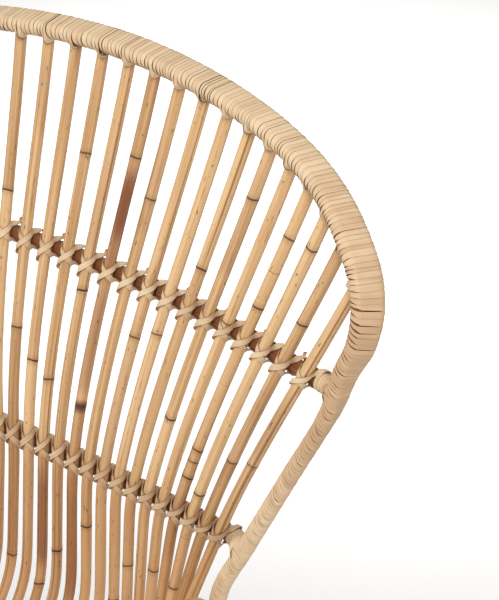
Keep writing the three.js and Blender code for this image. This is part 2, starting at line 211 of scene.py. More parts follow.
def bent_through(points: Sequence[Sequence[float]], step: float) -> np.ndarray:
    """A bent pole's line through given points, as a centripetal curve.

    Args:
        points: The points that the line goes through.
        step: Distance between the points of the result, in millimetres.

    Returns:
        Points along the curve.
    """
    knots = np.asarray(points, dtype=float)
    first = 2 * knots[0] - knots[1]
    last = 2 * knots[-1] - knots[-2]
    full = np.vstack([first, knots, last])
    pieces = []
    for p0, p1, p2, p3 in zip(full[:-3], full[1:-2], full[2:-1], full[3:]):
        gaps = [max(np.linalg.norm(b - a) ** 0.5, 1e-6) for a, b in ((p0, p1), (p1, p2), (p2, p3))]
        leave = (p1 - p0) / gaps[0] - (p2 - p0) / (gaps[0] + gaps[1]) + (p2 - p1) / gaps[1]
        arrive = (p2 - p1) / gaps[1] - (p3 - p1) / (gaps[1] + gaps[2]) + (p3 - p2) / gaps[2]
        leave = leave * gaps[1]
        arrive = arrive * gaps[1]
        t = np.linspace(0.0, 1.0, CURVE_POINTS, endpoint=False)[:, None]
        cubic = 2 * p1 - 2 * p2 + leave + arrive
        square = -3 * p1 + 3 * p2 - 2 * leave - arrive
        pieces.append(cubic * t**3 + square * t**2 + leave * t + p1)
    return evenly(np.vstack([*pieces, knots[-1:]]), step)


@dataclass
class Skin:
    """A closed mesh in millimetres with what its finish needs to know.

    Fields:
        places: Vertices.
        faces: Faces as lists of vertex numbers.
        lay: For each vertex, two places across the fibres and one along them.
        marks: For each vertex, named values such as tone.
        ends: For each face, 1 where it is cut across the fibres, and on a strip's two side walls, which the
            peel's finish paints dark as painted shade.
        ridge_step: How far apart the vertex numbers of a sharp edge are, or 0 for none.
    """

    places: np.ndarray
    faces: list[list[int]]
    lay: np.ndarray
    marks: dict[str, np.ndarray]
    ends: list[float]
    ridge_step: int = 0


def lofted(rings: np.ndarray, lay: np.ndarray, marks: dict[str, np.ndarray], ridged: bool = False) -> Skin:
    """A closed skin over a row of rings that have the same number of points.

    Args:
        rings: Ring by ring, the points of each.
        lay: The fibre coordinates of the same points.
        marks: Named values of the same points.
        ridged: Whether the edges from ring to ring are sharp.

    Returns:
        The skin, with a flat end at each side.
    """
    count, sides = rings.shape[:2]
    numbers = np.arange(count * sides).reshape(count, sides)
    onward = np.roll(numbers, -1, axis=1)
    walls = np.stack([numbers[:-1], onward[:-1], onward[1:], numbers[1:]], axis=-1).reshape(-1, 4)
    caps = [numbers[0][::-1].tolist(), numbers[-1].tolist()]
    cut = STRIP_SIDES if ridged else (0.0,) * sides
    return Skin(
        places=rings.reshape(-1, 3),
        faces=[*walls.tolist(), *caps],
        lay=lay.reshape(-1, 3),
        marks={name: values.reshape(-1) for name, values in marks.items()},
        ends=[*cut * (count - 1), 1.0, 1.0],
        ridge_step=sides if ridged else 0,
    )


def spread_round(values: dict[str, np.ndarray], sides: int) -> dict[str, np.ndarray]:
    """Values that are kept for rings, given to every point of each ring."""
    return {name: np.repeat(value[:, None], sides, axis=1) for name, value in values.items()}


def joined(skins: Sequence[Skin]) -> Skin:
    """Several skins as one.

    Args:
        skins: Skins with the same marks.

    Returns:
        The joined skin.
    """
    faces: list[list[int]] = []
    start = 0
    for skin in skins:
        faces.extend([[start + number for number in face] for face in skin.faces])
        start += len(skin.places)
    return Skin(
        places=np.vstack([skin.places for skin in skins]),
        faces=faces,
        lay=np.vstack([skin.lay for skin in skins]),
        marks={name: np.concatenate([skin.marks[name] for skin in skins]) for name in skins[0].marks},
        ends=[end for skin in skins for end in skin.ends],
        ridge_step=skins[0].ridge_step,
    )


def make_piece(
    name: str, skin: Skin, material: bpy.types.Material, slot: Slot, replaced: Sequence[str] = ()
) -> None:
    """Writes a skin as a Blender object that rides on the chair.

    Args:
        name: The piece's name.
        skin: Its mesh in millimetres.
        material: Its finish.
        slot: The record's material slot; not used.
        replaced: The frame's nodes that it stands for.
    """
    mesh = bpy.data.meshes.new(name)
    mesh.from_pydata((skin.places * MM).tolist(), [], skin.faces)
    lay = mesh.attributes.new("lay", "FLOAT_VECTOR", "POINT")
    lay.data.foreach_set("vector", (skin.lay * MM).astype(np.float32).ravel())
    for mark, values in skin.marks.items():
        attribute = mesh.attributes.new(mark, "FLOAT", "POINT")
        attribute.data.foreach_set("value", values.astype(np.float32))
    ends = mesh.attributes.new("end", "FLOAT", "FACE")
    ends.data.foreach_set("value", np.asarray(skin.ends, dtype=np.float32))
    mesh.polygons.foreach_set("use_smooth", np.asarray(skin.ends) < 0.5)
    if skin.ridge_step:
        edges = np.empty(2 * len(mesh.edges), dtype=np.int32)
        mesh.edges.foreach_get("vertices", edges)
        sharp = mesh.attributes.new("sharp_edge", "BOOLEAN", "EDGE")
        sharp.data.foreach_set("value", np.abs(edges[0::2] - edges[1::2]) == skin.ridge_step)
    mesh.materials.append(material)
    mesh.update()
    piece = bpy.data.objects.new(name, mesh)
    bpy.context.scene.collection.objects.link(piece)
    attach(piece, ROOT)
    if replaced:
        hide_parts(*replaced)
    LOG.info("%s: %d faces", name, len(skin.faces))


class Value:
    """A socket that carries a number and takes part in Python arithmetic."""

    def __init__(self, net: Net, socket: bpy.types.NodeSocket) -> None:
        """Keeps the node net and the socket."""
        self.net = net
        self.socket = socket

    def _math(self, operation: str, first: Any, second: Any = 0.0) -> Value:
        """Adds one Math node."""
        node = self.net.node("ShaderNodeMath", {"operation": operation}, {0: first, 1: second})
        return Value(self.net, node.outputs[0])

    def __add__(self, other: Any) -> Value:
        """Sum."""
        return self._math("ADD", self, other)

    def __radd__(self, other: Any) -> Value:
        """Sum with a plain number first."""
        return self._math("ADD", other, self)

    def __sub__(self, other: Any) -> Value:
        """Difference."""
        return self._math("SUBTRACT", self, other)

    def __rsub__(self, other: Any) -> Value:
        """Difference with a plain number first."""
        return self._math("SUBTRACT", other, self)

    def __mul__(self, other: Any) -> Value:
        """Product."""
        return self._math("MULTIPLY", self, other)

    def __abs__(self) -> Value:
        """Size without the sign."""
        return self._math("ABSOLUTE", self)

    def eased(self, low: float, high: float) -> Value:
        """A smooth step from 0 at low to 1 at high, or the other way where high is less than low.

        Args:
            low: Where the step is 0.
            high: Where it is 1.

        Returns:
            The step.
        """
        settings = {"interpolation_type": "SMOOTHSTEP"}
        inputs = {"Value": self, "From Min": min(low, high), "From Max": max(low, high)}
        node = self.net.node("ShaderNodeMapRange", settings, inputs)
        step = Value(self.net, node.outputs["Result"])
        return step if low < high else 1 - step


@dataclass(frozen=True)
class Grain:
    """A layer of noise that follows the fibres.

    Fields:
        across: Waves per metre across the fibres.
        along: Waves per metre along them.
        detail: How many finer layers the noise has.
        shift: Moves the pattern, so that two layers differ.
        roughness: How strong the finer layers are.
    """

    across: float
    along: float
    detail: float = 2.0
    shift: float = 0.0
    roughness: float = 0.55


class Net:
    """A material's node net, ending in one Principled shader."""

    def __init__(self, name: str) -> None:
        """Makes the material and its shader.

        Args:
            name: The material's name.
        """
        self.material = bpy.data.materials.new(name)
        self.material.use_nodes = True
        self.tree = self.material.node_tree
        self.shader = next(node for node in self.tree.nodes if node.type == "BSDF_PRINCIPLED")

    def feed(self, socket: bpy.types.NodeSocket, value: Any) -> None:
        """Links a value to a socket, or sets a plain number or colour on it.

        Args:
            socket: The socket.
            value: A value, another socket, a number or a colour.
        """
        if isinstance(value, Value):
            self.tree.links.new(value.socket, socket)
        elif isinstance(value, bpy.types.NodeSocket):
            self.tree.links.new(value, socket)
        else:
            socket.default_value = value

    def node(self, kind: str, settings: dict[str, Any], inputs: dict[Any, Any]) -> bpy.types.Node:
        """Adds any node.

        Args:
            kind: Blender's name of the node's type.
            settings: What is set on the node before its sockets.
            inputs: Values or links by socket name or number.

        Returns:
            The new node.
        """
        node = self.tree.nodes.new(kind)
        for key, value in settings.items():
            setattr(node, key, value)
        for key, value in inputs.items():
            self.feed(node.inputs[key], value)
        return node

    def mark(self, name: str) -> Value:
        """A named value of the mesh."""
        node = self.node("ShaderNodeAttribute", {"attribute_name": name}, {})
        return Value(self, node.outputs["Fac"])

    def grain(self, layer: Grain) -> Value:
        """Noise that follows the fibres.

        Args:
            layer: The noise's sizes.

        Returns:
            Noise from 0 to 1.
        """
        lay = self.node("ShaderNodeAttribute", {"attribute_name": "lay"}, {})
        scale = (layer.across, layer.across, layer.along)
        shift = (layer.shift, layer.shift, layer.shift)
        stretch = self.node(
            "ShaderNodeVectorMath", {"operation": "MULTIPLY"}, {0: lay.outputs["Vector"], 1: scale}
        )
        moved = self.node("ShaderNodeVectorMath", {"operation": "ADD"}, {0: stretch.outputs[0], 1: shift})
        inputs = {
            "Vector": moved.outputs[0],
            "Scale": 1.0,
            "Detail": layer.detail,
            "Roughness": layer.roughness,
        }
        noise = self.node("ShaderNodeTexNoise", {"noise_dimensions": "3D"}, inputs)
        return Value(self, noise.outputs[0])

    def mix(self, first: Any, second: Any, share: Value) -> bpy.types.NodeSocket:
        """A colour between two others."""
        node = self.node("ShaderNodeMix", {"data_type": "RGBA"}, {0: share, 6: first, 7: second})
        return node.outputs[2]

    def layered(self, base: Colour, layers: Sequence[tuple[Colour, Value]]) -> Any:
        """A colour with others laid over it.

        Args:
            base: The colour underneath.
            layers: Each further colour and its share, from the lowest up.

        Returns:
            The mixed colour.
        """
        colour: Any = base
        for over, share in layers:
            colour = self.mix(colour, over, share)
        return colour

    def set_shader(self, inputs: dict[str, Any]) -> None:
        """Sets or links the shader's sockets by name."""
        for key, value in inputs.items():
            self.feed(self.shader.inputs[key], value)

    def finish(self, colour: Any, roughness: Any, height: Value, depth: float) -> bpy.types.Material:
        """Feeds the shader.

        Args:
            colour: Base colour.
            roughness: Roughness.
            height: Bump height from 0 to 1.
            depth: What height 1 stands for, in metres.

        Returns:
            The finished material.
        """
        bump = self.node("ShaderNodeBump", {}, {"Strength": 1.0, "Distance": depth, "Height": height})
        self.set_shader({"Base Color": colour, "Roughness": roughness, "Normal": bump.outputs[0]})
        return self.material


@dataclass(frozen=True)
class CaneFinish:
    """Peeled and varnished rattan core with its knots, streaks and stained lengths."""

    name: str = "varnished_cane"
    pale: Colour = (0.75, 0.51, 0.27, 1.0)
    tan: Colour = (0.57, 0.34, 0.15, 1.0)
    deep: Colour = (0.30, 0.14, 0.05, 1.0)
    ruddy: Colour = (0.44, 0.20, 0.07, 1.0)
    stained: Colour = (0.21, 0.066, 0.026, 1.0)
    scar: Colour = (0.040, 0.016, 0.007, 1.0)
    pith: Colour = (0.66, 0.50, 0.30, 1.0)
    streaks: Grain = Grain(across=300.0, along=4.0, detail=3.0)
    fibres: Grain = Grain(across=1300.0, along=14.0, shift=7.0)
    blotches: Grain = Grain(across=60.0, along=11.0, shift=3.0)
    lines: Grain = Grain(across=380.0, along=1.5, detail=1.0, shift=11.0)
    specks: Grain = Grain(across=430.0, along=120.0, shift=5.0)
    bruises: Grain = Grain(across=170.0, along=24.0, detail=3.0, shift=17.0)
    coat: float = 0.2
    coat_roughness: float = 0.3
    sheen: float = 0.3
    relief: float = 0.00022

    def material(self) -> bpy.types.Material:
        """Builds the cane's nodes.

        Returns:
            The finished material.
        """
        net = Net(self.name)
        tone = net.mark("tone")
        ring = net.mark("ring")
        knot = net.mark("knot")
        stain = net.mark("stain")
        streak = net.grain(self.streaks)
        fibre = net.grain(self.fibres)
        blotch = net.grain(self.blotches)
        line = net.grain(self.lines).eased(0.62, 0.70)
        speck = net.grain(self.specks).eased(0.66, 0.72)
        bruise = net.grain(self.bruises).eased(0.62, 0.74)
        body = (tone * 0.9 + blotch * 0.6 + streak * 0.5 - 0.55).eased(0.0, 1.0)
        deepened = (streak * 0.9 + tone * 0.5 + fibre * 0.3 - 0.68).eased(0.05, 0.55)
        burnt = abs(ring + (fibre - 0.5) * 0.6).eased(1.5, 0.5) * knot
        halo = abs(ring).eased(8.0, 0.5) * knot
        layers = (
            (self.tan, body),
            (self.ruddy, net.mark("hue") * (0.35 + blotch * 0.5)),
            (self.deep, deepened * 0.85),
            (self.deep, line * 0.95),
            (self.deep, bruise * streak),
            (self.stained, stain * (0.55 + streak * 0.8)),
            (self.scar, (stain + fibre * 0.2 - 1.1) * 4.0),
            (self.deep, halo * blotch * 0.9),
            (self.scar, burnt * (0.65 + blotch * 0.7)),
            (self.scar, speck * 0.65),
            (self.pith, net.mark("end") * (0.6 + fibre * 0.4)),
        )
        net.set_shader(
            {
                "Coat Weight": self.coat,
                "Coat Roughness": self.coat_roughness,
                "Specular IOR Level": self.sheen,
            }
        )
        colour = net.layered(self.pale, layers)
        return net.finish(colour, 0.4 + fibre * 0.22, fibre * 0.5 + streak * 0.5, self.relief)


@dataclass(frozen=True)
class PeelFinish:
    """Strips of rattan bark, pale and satin, with fibres along each strip."""

    name: str = "rattan_peel"
    pale: Colour = (0.71, 0.54, 0.34, 1.0)
    straw: Colour = (0.49, 0.305, 0.165, 1.0)
    deep: Colour = (0.24, 0.115, 0.045, 1.0)
    threads: Grain = Grain(across=620.0, along=9.0)
    fibres: Grain = Grain(across=1900.0, along=45.0, shift=3.0)
    patches: Grain = Grain(across=30.0, along=30.0, shift=5.0)
    specks: Grain = Grain(across=700.0, along=260.0, detail=1.0, shift=9.0)
    coat: float = 0.1
    coat_roughness: float = 0.35
    relief: float = 0.00014

    def material(self) -> bpy.types.Material:
        """Builds the peel's nodes.

        Returns:
            The finished material.
        """
        net = Net(self.name)
        tone = net.mark("tone")
        thread = net.grain(self.threads)
        fibre = net.grain(self.fibres)
        patch = net.grain(self.patches)
        speck = net.grain(self.specks).eased(0.70, 0.78)
        body = (tone * 0.8 + patch * 0.6 + thread * 0.7 - 0.62).eased(0.0, 1.0)
        layers = (
            (self.straw, body),
            (self.deep, thread.eased(0.62, 0.78) * 0.25),
            # Painted shade: the strips' cut side walls are painted dark along their edges and in the slits
            # between turns, less where a slit is shut.
            (self.deep, net.mark("end") * (0.9 - net.mark("closed") * 0.75)),
            (self.deep, speck * 0.55),
        )
        net.set_shader({"Coat Weight": self.coat, "Coat Roughness": self.coat_roughness})
        colour = net.layered(self.pale, layers)
        return net.finish(colour, 0.45 + fibre * 0.2, fibre * 0.5 + thread * 0.5, self.relief)


@dataclass(frozen=True)
class DarkRattanFinish:
    """Dark red brown rattan: on the back rails partly a darker skin and partly painted shade between the
    canes, on the rim's cores painted shade in the winding's slits.
    """

    name: str = "dark_rattan"
    dark: Colour = (0.15, 0.046, 0.014, 1.0)
    warm: Colour = (0.29, 0.105, 0.034, 1.0)
    scar: Colour = (0.02, 0.008, 0.005, 1.0)
    streaks: Grain = Grain(across=380.0, along=6.0, detail=3.0)
    fibres: Grain = Grain(across=1500.0, along=18.0, shift=7.0)
    coat: float = 0.3
    relief: float = 0.0002

    def material(self) -> bpy.types.Material:
        """Builds the stained rattan's nodes.

        Returns:
            The finished material.
        """
        net = Net(self.name)
        streak = net.grain(self.streaks)
        fibre = net.grain(self.fibres)
        layers = (
            (self.warm, (streak + fibre * 0.3 - 0.2).eased(0.2, 0.8)),
            (self.scar, abs(net.mark("ring")).eased(1.2, 0.3)),
        )
        net.set_shader({"Coat Weight": self.coat})
        colour = net.layered(self.dark, layers)
        return net.finish(colour, 0.34 + fibre * 0.25, fibre * 0.6 + streak * 0.4, self.relief)


@dataclass(frozen=True)
class GlideFinish:
    """Moulded dark rubber of the foot glides."""

    name: str = "glide_rubber"
    dark: Colour = (0.018, 0.016, 0.015, 1.0)
    scuffed: Colour = (0.065, 0.06, 0.055, 1.0)
    grit_scale: float = 900.0
    grit_detail: float = 3.0
    relief: float = 0.0001

    def material(self) -> bpy.types.Material:
        """Builds the rubber's nodes.

        Returns:
            The finished material.
        """
        net = Net(self.name)
        place = net.node("ShaderNodeNewGeometry", {}, {})
        inputs = {"Vector": place.outputs["Position"], "Scale": self.grit_scale, "Detail": self.grit_detail}
        grit = Value(net, net.node("ShaderNodeTexNoise", {}, inputs).outputs[0])
        colour = net.mix(self.dark, self.scuffed, grit.eased(0.45, 0.75))
        return net.finish(colour, 0.7 + grit * 0.2, grit, self.relief)


@dataclass(frozen=True)
class Fan:
    """The fan of canes: half spreads, wraps and set backs at the lower rail and at the rim."""

    count: int = 24
    foot_z: float = 630.0
    low_spread: float = 256.0
    low_ease: float = 7.0
    low_wrap: float = 13.0
    top_spread: float = 433.0
    top_ease: float = 32.0
    top_set_back: float = 116.0
    top_wrap: float = 93.0
    top_rise: float = 424.0
    top_fall: float = 73.0
    top_shoulder: float = 49.0
    top_drop: float = 72.0
    lumbar_bow: float = 10.0
    bow_peak_factor: float = 6.75
    middle_y: float = -196.314

    def shares(self) -> np.ndarray:
        """The canes' places across the fan, from -1 to 1."""
        return np.linspace(-1.0, 1.0, self.count)

    def low(self, f: float) -> np.ndarray:
        """Where a cane passes the lower rail."""
        x = self.low_spread * f - self.low_ease * f**3
        return np.array([x, -self.low_wrap * f**2 - self.middle_y, self.foot_z])

    def top(self, f: float) -> np.ndarray:
        """Where a cane meets the rim's middle line.

        Args:
            f: The cane's place across the fan.

        Returns:
            The place.
        """
        x = self.top_spread * f - self.top_ease * f**3
        y = self.top_set_back - self.top_wrap * f**2
        rise = self.top_rise - self.top_fall * f**2 + self.top_shoulder * f**4 - self.top_drop * f**6
        return np.array([x, y - self.middle_y, self.foot_z + rise])

    def at(self, f: float, t: float) -> np.ndarray:
        """A place on the fan, t from the lower rail to the rim."""
        place = self.low(f) + (self.top(f) - self.low(f)) * t
        return place - BACKWARDS * (self.lumbar_bow * self.bow_peak_factor * t * (1 - t) ** 2)

    def share_at(self, f: float, rise: float) -> float:
        """The share t at a rise over the fan's foot."""
        return rise / (self.top(f)[2] - self.foot_z)


@dataclass(frozen=True)
class Crossing:
    """Where a cane crosses a rail: its centre and the directions there."""

    centre: np.ndarray
    along: np.ndarray
    up: np.ndarray
    cane: np.ndarray
    back: np.ndarray


def crossing(fan: Fan, f: float, rise: float) -> Crossing:
    """The frame where a cane crosses a rail.

    Args:
        fan: The fan.
        f: The cane's place across it.
        rise: The rail's rise over the fan's foot.

    Returns:
        Directions along the rail, up across it, along the cane and back through both.
    """
    small = 0.01
    share = fan.share_at(f, rise)
    ahead = fan.at(f + small, fan.share_at(f + small, rise))
    behind = fan.at(f - small, fan.share_at(f - small, rise))
    along = unit(ahead - behind)
    cane = unit(fan.at(f, share + small) - fan.at(f, share - small))
    up = square_to(cane, along)
    return Crossing(fan.at(f, share), along, up, cane, np.cross(up, along))


def marked(
    lengths: Sequence[tuple[float, float, float]],
    stations: np.ndarray,
    fade_in: float = 12.0,
    fade_out: float = 40.0,
) -> np.ndarray:
    """How strongly each station is marked.

    Args:
        lengths: Start, end and strength of each marked length.
        stations: Distances along the stick.
        fade_in: How far a mark takes to come in, on a long enough length.
        fade_out: How far it takes to go out.

    Returns:
        A strength for each station.
    """
    mark = np.zeros(len(stations))
    for start, end, strength in lengths:
        rise = np.clip((stations - start) / min(fade_in, (end - start) / 3), 0.0, 1.0)
        fall = np.clip((end - stations) / min(fade_out, (end - start) / 3), 0.0, 1.0)
        mark = np.maximum(mark, strength * rise * fall)
    return mark


@dataclass
class Stick:
    """A round length of rattan with knots.

    Fields:
        path: Its middle line.
        radius: Its mean radius.
        reference: A direction that is never along it.
        seed: Number that its small differences come from.
        sides: Points round it.
        taper: Share of the radius by which its end is thicker than its start.
        knot_gap: Mean distance between knots.
        knots: Distances of its knots from its start, or none to set them out from the seed.
        stains: Start, end and strength of stained lengths.
        tone: Its mean tone.
        tone_step: How far the tone may change at a knot.
        hue: How ruddy it is.
        flushes: Start, end and strength of ruddier lengths.
        ring_step: Distance between rings away from knots.
        gap_range: Least and greatest share of the mean distance between knots.
        first_range: The same for how far the first knot is moved back.
        end_clear: Length without knots at either end.
        strength_range: Least and greatest strength of a knot.
        knot_clear: Length on both sides of a knot that has closer rings.
        near_knot: Where those rings are.
        swell: Height of a knot's swelling.
        swell_reach: Its length.
        groove: Depth of the groove round a knot.
        groove_reach: Its width.
        tilt: Share of the radius by which a knot leans.
        ripple: The same for its waves round the stick.
        tilt_reach: How far along the stick the lean is felt.
        uneven: Share of the radius and length of each wave in the stick's thickness.
    """

    path: np.ndarray
    radius: float
    reference: np.ndarray
    seed: int
    sides: int = 14
    taper: float = 0.0
    knot_gap: float = 190.0
    knots: Sequence[float] | None = None
    stains: Sequence[tuple[float, float, float]] = ()
    tone: float = 0.5
    tone_step: float = 0.22
    hue: float = 0.2
    flushes: Sequence[tuple[float, float, float]] = ()
    ring_step: float = 11.0
    gap_range: tuple[float, float] = (0.75, 1.25)
    first_range: tuple[float, float] = (0.2, 0.9)
    end_clear: float = 25.0
    strength_range: tuple[float, float] = (0.7, 1.0)
    knot_clear: float = 12.0
    near_knot: tuple[float, ...] = (-9.0, -5.0, -2.6, -1.3, -0.6, 0.0, 0.6, 1.3, 2.6, 5.0, 9.0)
    swell: float = 0.5
    swell_reach: float = 3.2
    groove: float = 0.45
    groove_reach: float = 0.7
    tilt: float = 0.14
    ripple: float = 0.06
    tilt_reach: float = 6.0
    uneven: tuple[tuple[float, float], ...] = ((0.018, 47.0), (0.012, 19.0))

    def set_out_knots(self, rng: np.random.Generator, length: float) -> np.ndarray:
        """The knots' places, given or spaced a little unevenly.

        Args:
            rng: Source of small differences.
            length: The stick's length.

        Returns:
            Distances from the stick's start.
        """
        if self.knots is not None:
            return np.asarray(sorted(self.knots), dtype=float)
        gaps = self.knot_gap * rng.uniform(*self.gap_range, int(length / self.knot_gap) + 3)
        places = np.cumsum(gaps) - self.knot_gap * rng.uniform(*self.first_range)
        kept = places[(places > self.end_clear) & (places < length - self.end_clear)]
        return kept if len(kept) else np.array([length / 2])

    def stations(self, knots: np.ndarray, length: float) -> np.ndarray:
        """The rings' places, close together at every knot.

        Args:
            knots: Distances of the knots.
            length: The stick's length.

        Returns:
            Distances from the stick's start.
        """
        plain = np.linspace(0.0, length, max(3, int(length / self.ring_step)))
        apart = np.abs(knots[:, None] - plain).min(axis=0)
        clear = plain[(apart > self.knot_clear) | (plain == 0.0) | (plain == length)]
        close = (knots[:, None] + np.asarray(self.near_knot)).ravel()
        return np.unique(np.concatenate([clear, close[(close > 0.0) & (close < length)]]))

    def skin(self) -> Skin:
        """Lofts the stick, with a swell and a fine groove at each knot.

        Returns:
            The stick's skin.
        """
        rng = np.random.default_rng(self.seed)
        length = run_of(self.path)[-1]
        knots = self.set_out_knots(rng, length)
        stations = self.stations(knots, length)
        centres = along_path(self.path, stations)
        tangents = unit(carried(self.path, tangents_of(self.path), stations))
        normals = square_to(np.broadcast_to(self.reference, tangents.shape), tangents)
        nearest = np.abs(knots[:, None] - stations).argmin(axis=0)
        signed = stations - knots[nearest]
        angles = all_round(self.sides)
        *phases, ripple_phase = rng.uniform(0, 2 * math.pi, len(self.uneven) + 1)
        waves = zip(self.uneven, phases)
        uneven = sum(size * np.sin(stations / span + phase) for (size, span), phase in waves)
        strength = rng.uniform(*self.strength_range, len(knots))[nearest]
        swollen = self.swell * bell(signed, self.swell_reach)
        swollen -= self.groove * bell(signed, self.groove_reach)
        radii = self.radius * (1 + uneven + self.taper * (stations / length - 0.5)) + swollen * strength
        lean = rng.uniform(0, 2 * math.pi, len(knots))[nearest]
        tilt = self.tilt * np.sin(angles - lean[:, None]) + self.ripple * np.sin(3 * angles + ripple_phase)
        shift = self.radius * tilt * bell(signed, self.tilt_reach)[:, None]
        out = turned(normals, np.cross(tangents, normals), angles)
        rings = centres[:, None] + radii[:, None, None] * out + shift[..., None] * tangents[:, None]
        lay = np.empty_like(rings)
        lay[..., 0] = self.radius * np.cos(angles)
        lay[..., 1] = self.radius * np.sin(angles)
        lay[..., 2] = stations[:, None] + STICK_SHIFT * (self.seed % STICK_PATTERNS)
        values = {
            "ring": signed,
            "knot": strength,
            "tone": self.tones(rng, stations, knots),
            "hue": self.hue + marked(self.flushes, stations),
            "stain": marked(self.stains, stations),
        }
        return lofted(rings, lay, spread_round(values, self.sides))

    def tones(self, rng: np.random.Generator, stations: np.ndarray, knots: np.ndarray) -> np.ndarray:
        """A tone for each station, that steps a little at every knot."""
        lengths = self.tone + rng.uniform(-self.tone_step, self.tone_step, len(knots) + 1)
        return lengths[np.searchsorted(knots, stations)]


@dataclass
class PeelStrip:
    """A strip of peel laid along a path, a flat band with rounded edges.

    Fields:
        path: Middle line of its outer face.
        normals: Outward directions.
        widths: Width at each point.
        tones: Tone at each point.
        thickness: Thickness of the strip.
        rounding: How far its edges are rounded.
    """

    path: np.ndarray
    normals: np.ndarray
    widths: np.ndarray
    tones: np.ndarray
    thickness: float
    rounding: float

    def skin(self) -> Skin:
        """Lofts the strip.

        Returns:
            The strip's skin.
        """
        tangents = tangents_of(self.path)
        normals = square_to(self.normals, tangents)
        across = np.cross(tangents, normals)
        half = self.widths / 2
        flat = half - self.rounding
        run = run_of(self.path)
        corners = ((-half, -self.thickness), (half, -self.thickness), (flat, 0.0), (-flat, 0.0))
        rings = np.empty((len(run), len(corners), 3))
        lay = np.empty_like(rings)
        for k, (offset, depth) in enumerate(corners):
            rings[:, k] = self.path + across * offset[:, None] + normals * depth
            lay[:, k, 0] = offset + STRIP_SHIFT * self.tones
            lay[:, k, 1] = depth
            lay[:, k, 2] = run
        return lofted(rings, lay, spread_round({"tone": self.tones}, len(corners)), ridged=True)


@dataclass(frozen=True)
class PeelTurns:
    """How a strip is cut and laid where it is wound in close turns.

    Fields:
        pitch: Distance from turn to turn.
        width: Width of the strip.
        rounding: How far its edges are rounded.
        tone: Its mean tone.
        swing: How far a turn's tone goes to either side of that.
        beat: How fast the tone changes from turn to turn.
        thickness: Thickness of the strip.
    """

    pitch: float
    width: float
    rounding: float
    tone: float
    swing: float
    beat: float
    thickness: float = 1.0

    def skin(self, places: np.ndarray, normals: np.ndarray, turns: np.ndarray) -> Skin:
        """Lofts the wound strip.

        Args:
            places: Middle line of its outer face.
            normals: Outward directions.
            turns: How many turns it has made at each place.

        Returns:
            The strip's skin.
        """
        tones = self.tone + self.swing * np.sin(self.beat * np.floor(turns))
        widths = np.full(len(turns), self.width)
        return PeelStrip(places, normals, widths, tones, self.thickness, self.rounding).skin()


@dataclass
class Thread:
    """The points of a strip while it is being wound.

    Fields:
        places: Middle line of its outer face.
        normals: Outward directions.
        tones: Tones.
        step: Distance between the points of the finished strip.
        width_swing: Share by which its width goes to either side of the mean.
        swing_length: How fast its width changes along it.
    """

    places: list[np.ndarray] = field(default_factory=list)
    normals: list[np.ndarray] = field(default_factory=list)
    tones: list[float] = field(default_factory=list)
    step: float = 1.6
    width_swing: float = 0.08
    swing_length: float = 23.0

    def add(self, place: np.ndarray, normal: np.ndarray, tone: float) -> None:
        """Leads the strip on.

        Args:
            place: The next place.
            normal: The outward direction there.
            tone: The tone there.
        """
        self.places.append(place)
        self.normals.append(normal)
        self.tones.append(tone)

    def strip(self, width: float, thickness: float, rounding: float) -> Skin:
        """The strip through all the places, in fine steps and a little uneven in width.

        Args:
            width: Its mean width.
            thickness: Its thickness.
            rounding: How far its edges are rounded.

        Returns:
            The strip's skin.
        """
        path = np.asarray(self.places)
        fine = bent_through(path, self.step)
        run = run_of(path)
        share = run_of(fine) * (run[-1] / run_of(fine)[-1])
        normals = unit(carried(path, np.asarray(self.normals), share))
        widths = width * (1 + self.width_swing * np.sin(share / self.swing_length))
        tones = np.interp(share, run, self.tones)
        return PeelStrip(fine, normals, widths, tones, thickness, rounding).skin()


@dataclass(frozen=True)
class Finishes:
    """The materials that the pieces share."""

    cane: bpy.types.Material
    peel: bpy.types.Material
    dark: bpy.types.Material
    glide: bpy.types.Material


@dataclass(frozen=True)
class CaneMarks:
    """What can be seen on one cane, with rises over the fan's foot.

    Fields:
        knots: Rises of its knots on the back.
        stains: Lower end, upper end and strength of its stained lengths.
        tone: Its mean tone.
        hue: How ruddy it is.
    """

    knots: tuple[float, ...]
    stains: tuple[tuple[float, float, float], ...] = ()
    tone: float = 0.5
    hue: float = 0.2


SEEN_CANES: dict[int, CaneMarks] = {
    9: CaneMarks(knots=(248.0,), tone=0.48),
    10: CaneMarks(knots=(114.0, -147.0), stains=((310.0, 400.0, 0.2),), tone=0.52, hue=0.25),
    11: CaneMarks(knots=(87.0,), tone=0.52),
    12: CaneMarks(knots=(309.0, 74.0, -165.0), stains=((-145.0, -8.0, 0.7),), tone=0.5, hue=0.35),
    13: CaneMarks(knots=(178.0, -117.0), stains=((215.0, 330.0, 0.14),), tone=0.5),
    14: CaneMarks(
        knots=(323.0, 61.0),
        stains=(
            (236.0, 325.0, 1.0),
            (190.0, 300.0, 0.55),
            (75.0, 212.0, 0.4),
            (52.0, 69.0, 1.25),
            (-170.0, -8.0, 0.5),
        ),
        hue=0.6,
    ),
    15: CaneMarks(knots=(290.0, -70.0), stains=((250.0, 360.0, 0.2),), tone=0.45),
    16: CaneMarks(knots=(155.0,), stains=((0.0, 190.0, 0.28),), tone=0.25),
    17: CaneMarks(knots=(168.0, -140.0), tone=0.5),
    18: CaneMarks(knots=(249.0, -91.0), tone=0.4),
    # Cane 19 is darker from 250 to 400 over the fan's foot.
    19: CaneMarks(knots=(335.0, 95.0), stains=((250.0, 400.0, 0.25),), tone=0.42),
    20: CaneMarks(knots=(214.0, -78.0), tone=0.4),
    21: CaneMarks(knots=(319.0, 244.0, 79.0, 45.0), stains=((-60.0, 40.0, 0.3),), tone=0.5, hue=0.4),
    22: CaneMarks(knots=(322.0, 34.0, -78.0), tone=0.45, hue=0.1),
    23: CaneMarks(knots=(252.0, 89.0), stains=((60.0, 190.0, 0.25),), tone=0.6),
    24: CaneMarks(knots=(98.0,), stains=((100.0, 190.0, 0.2),), tone=0.45),
}


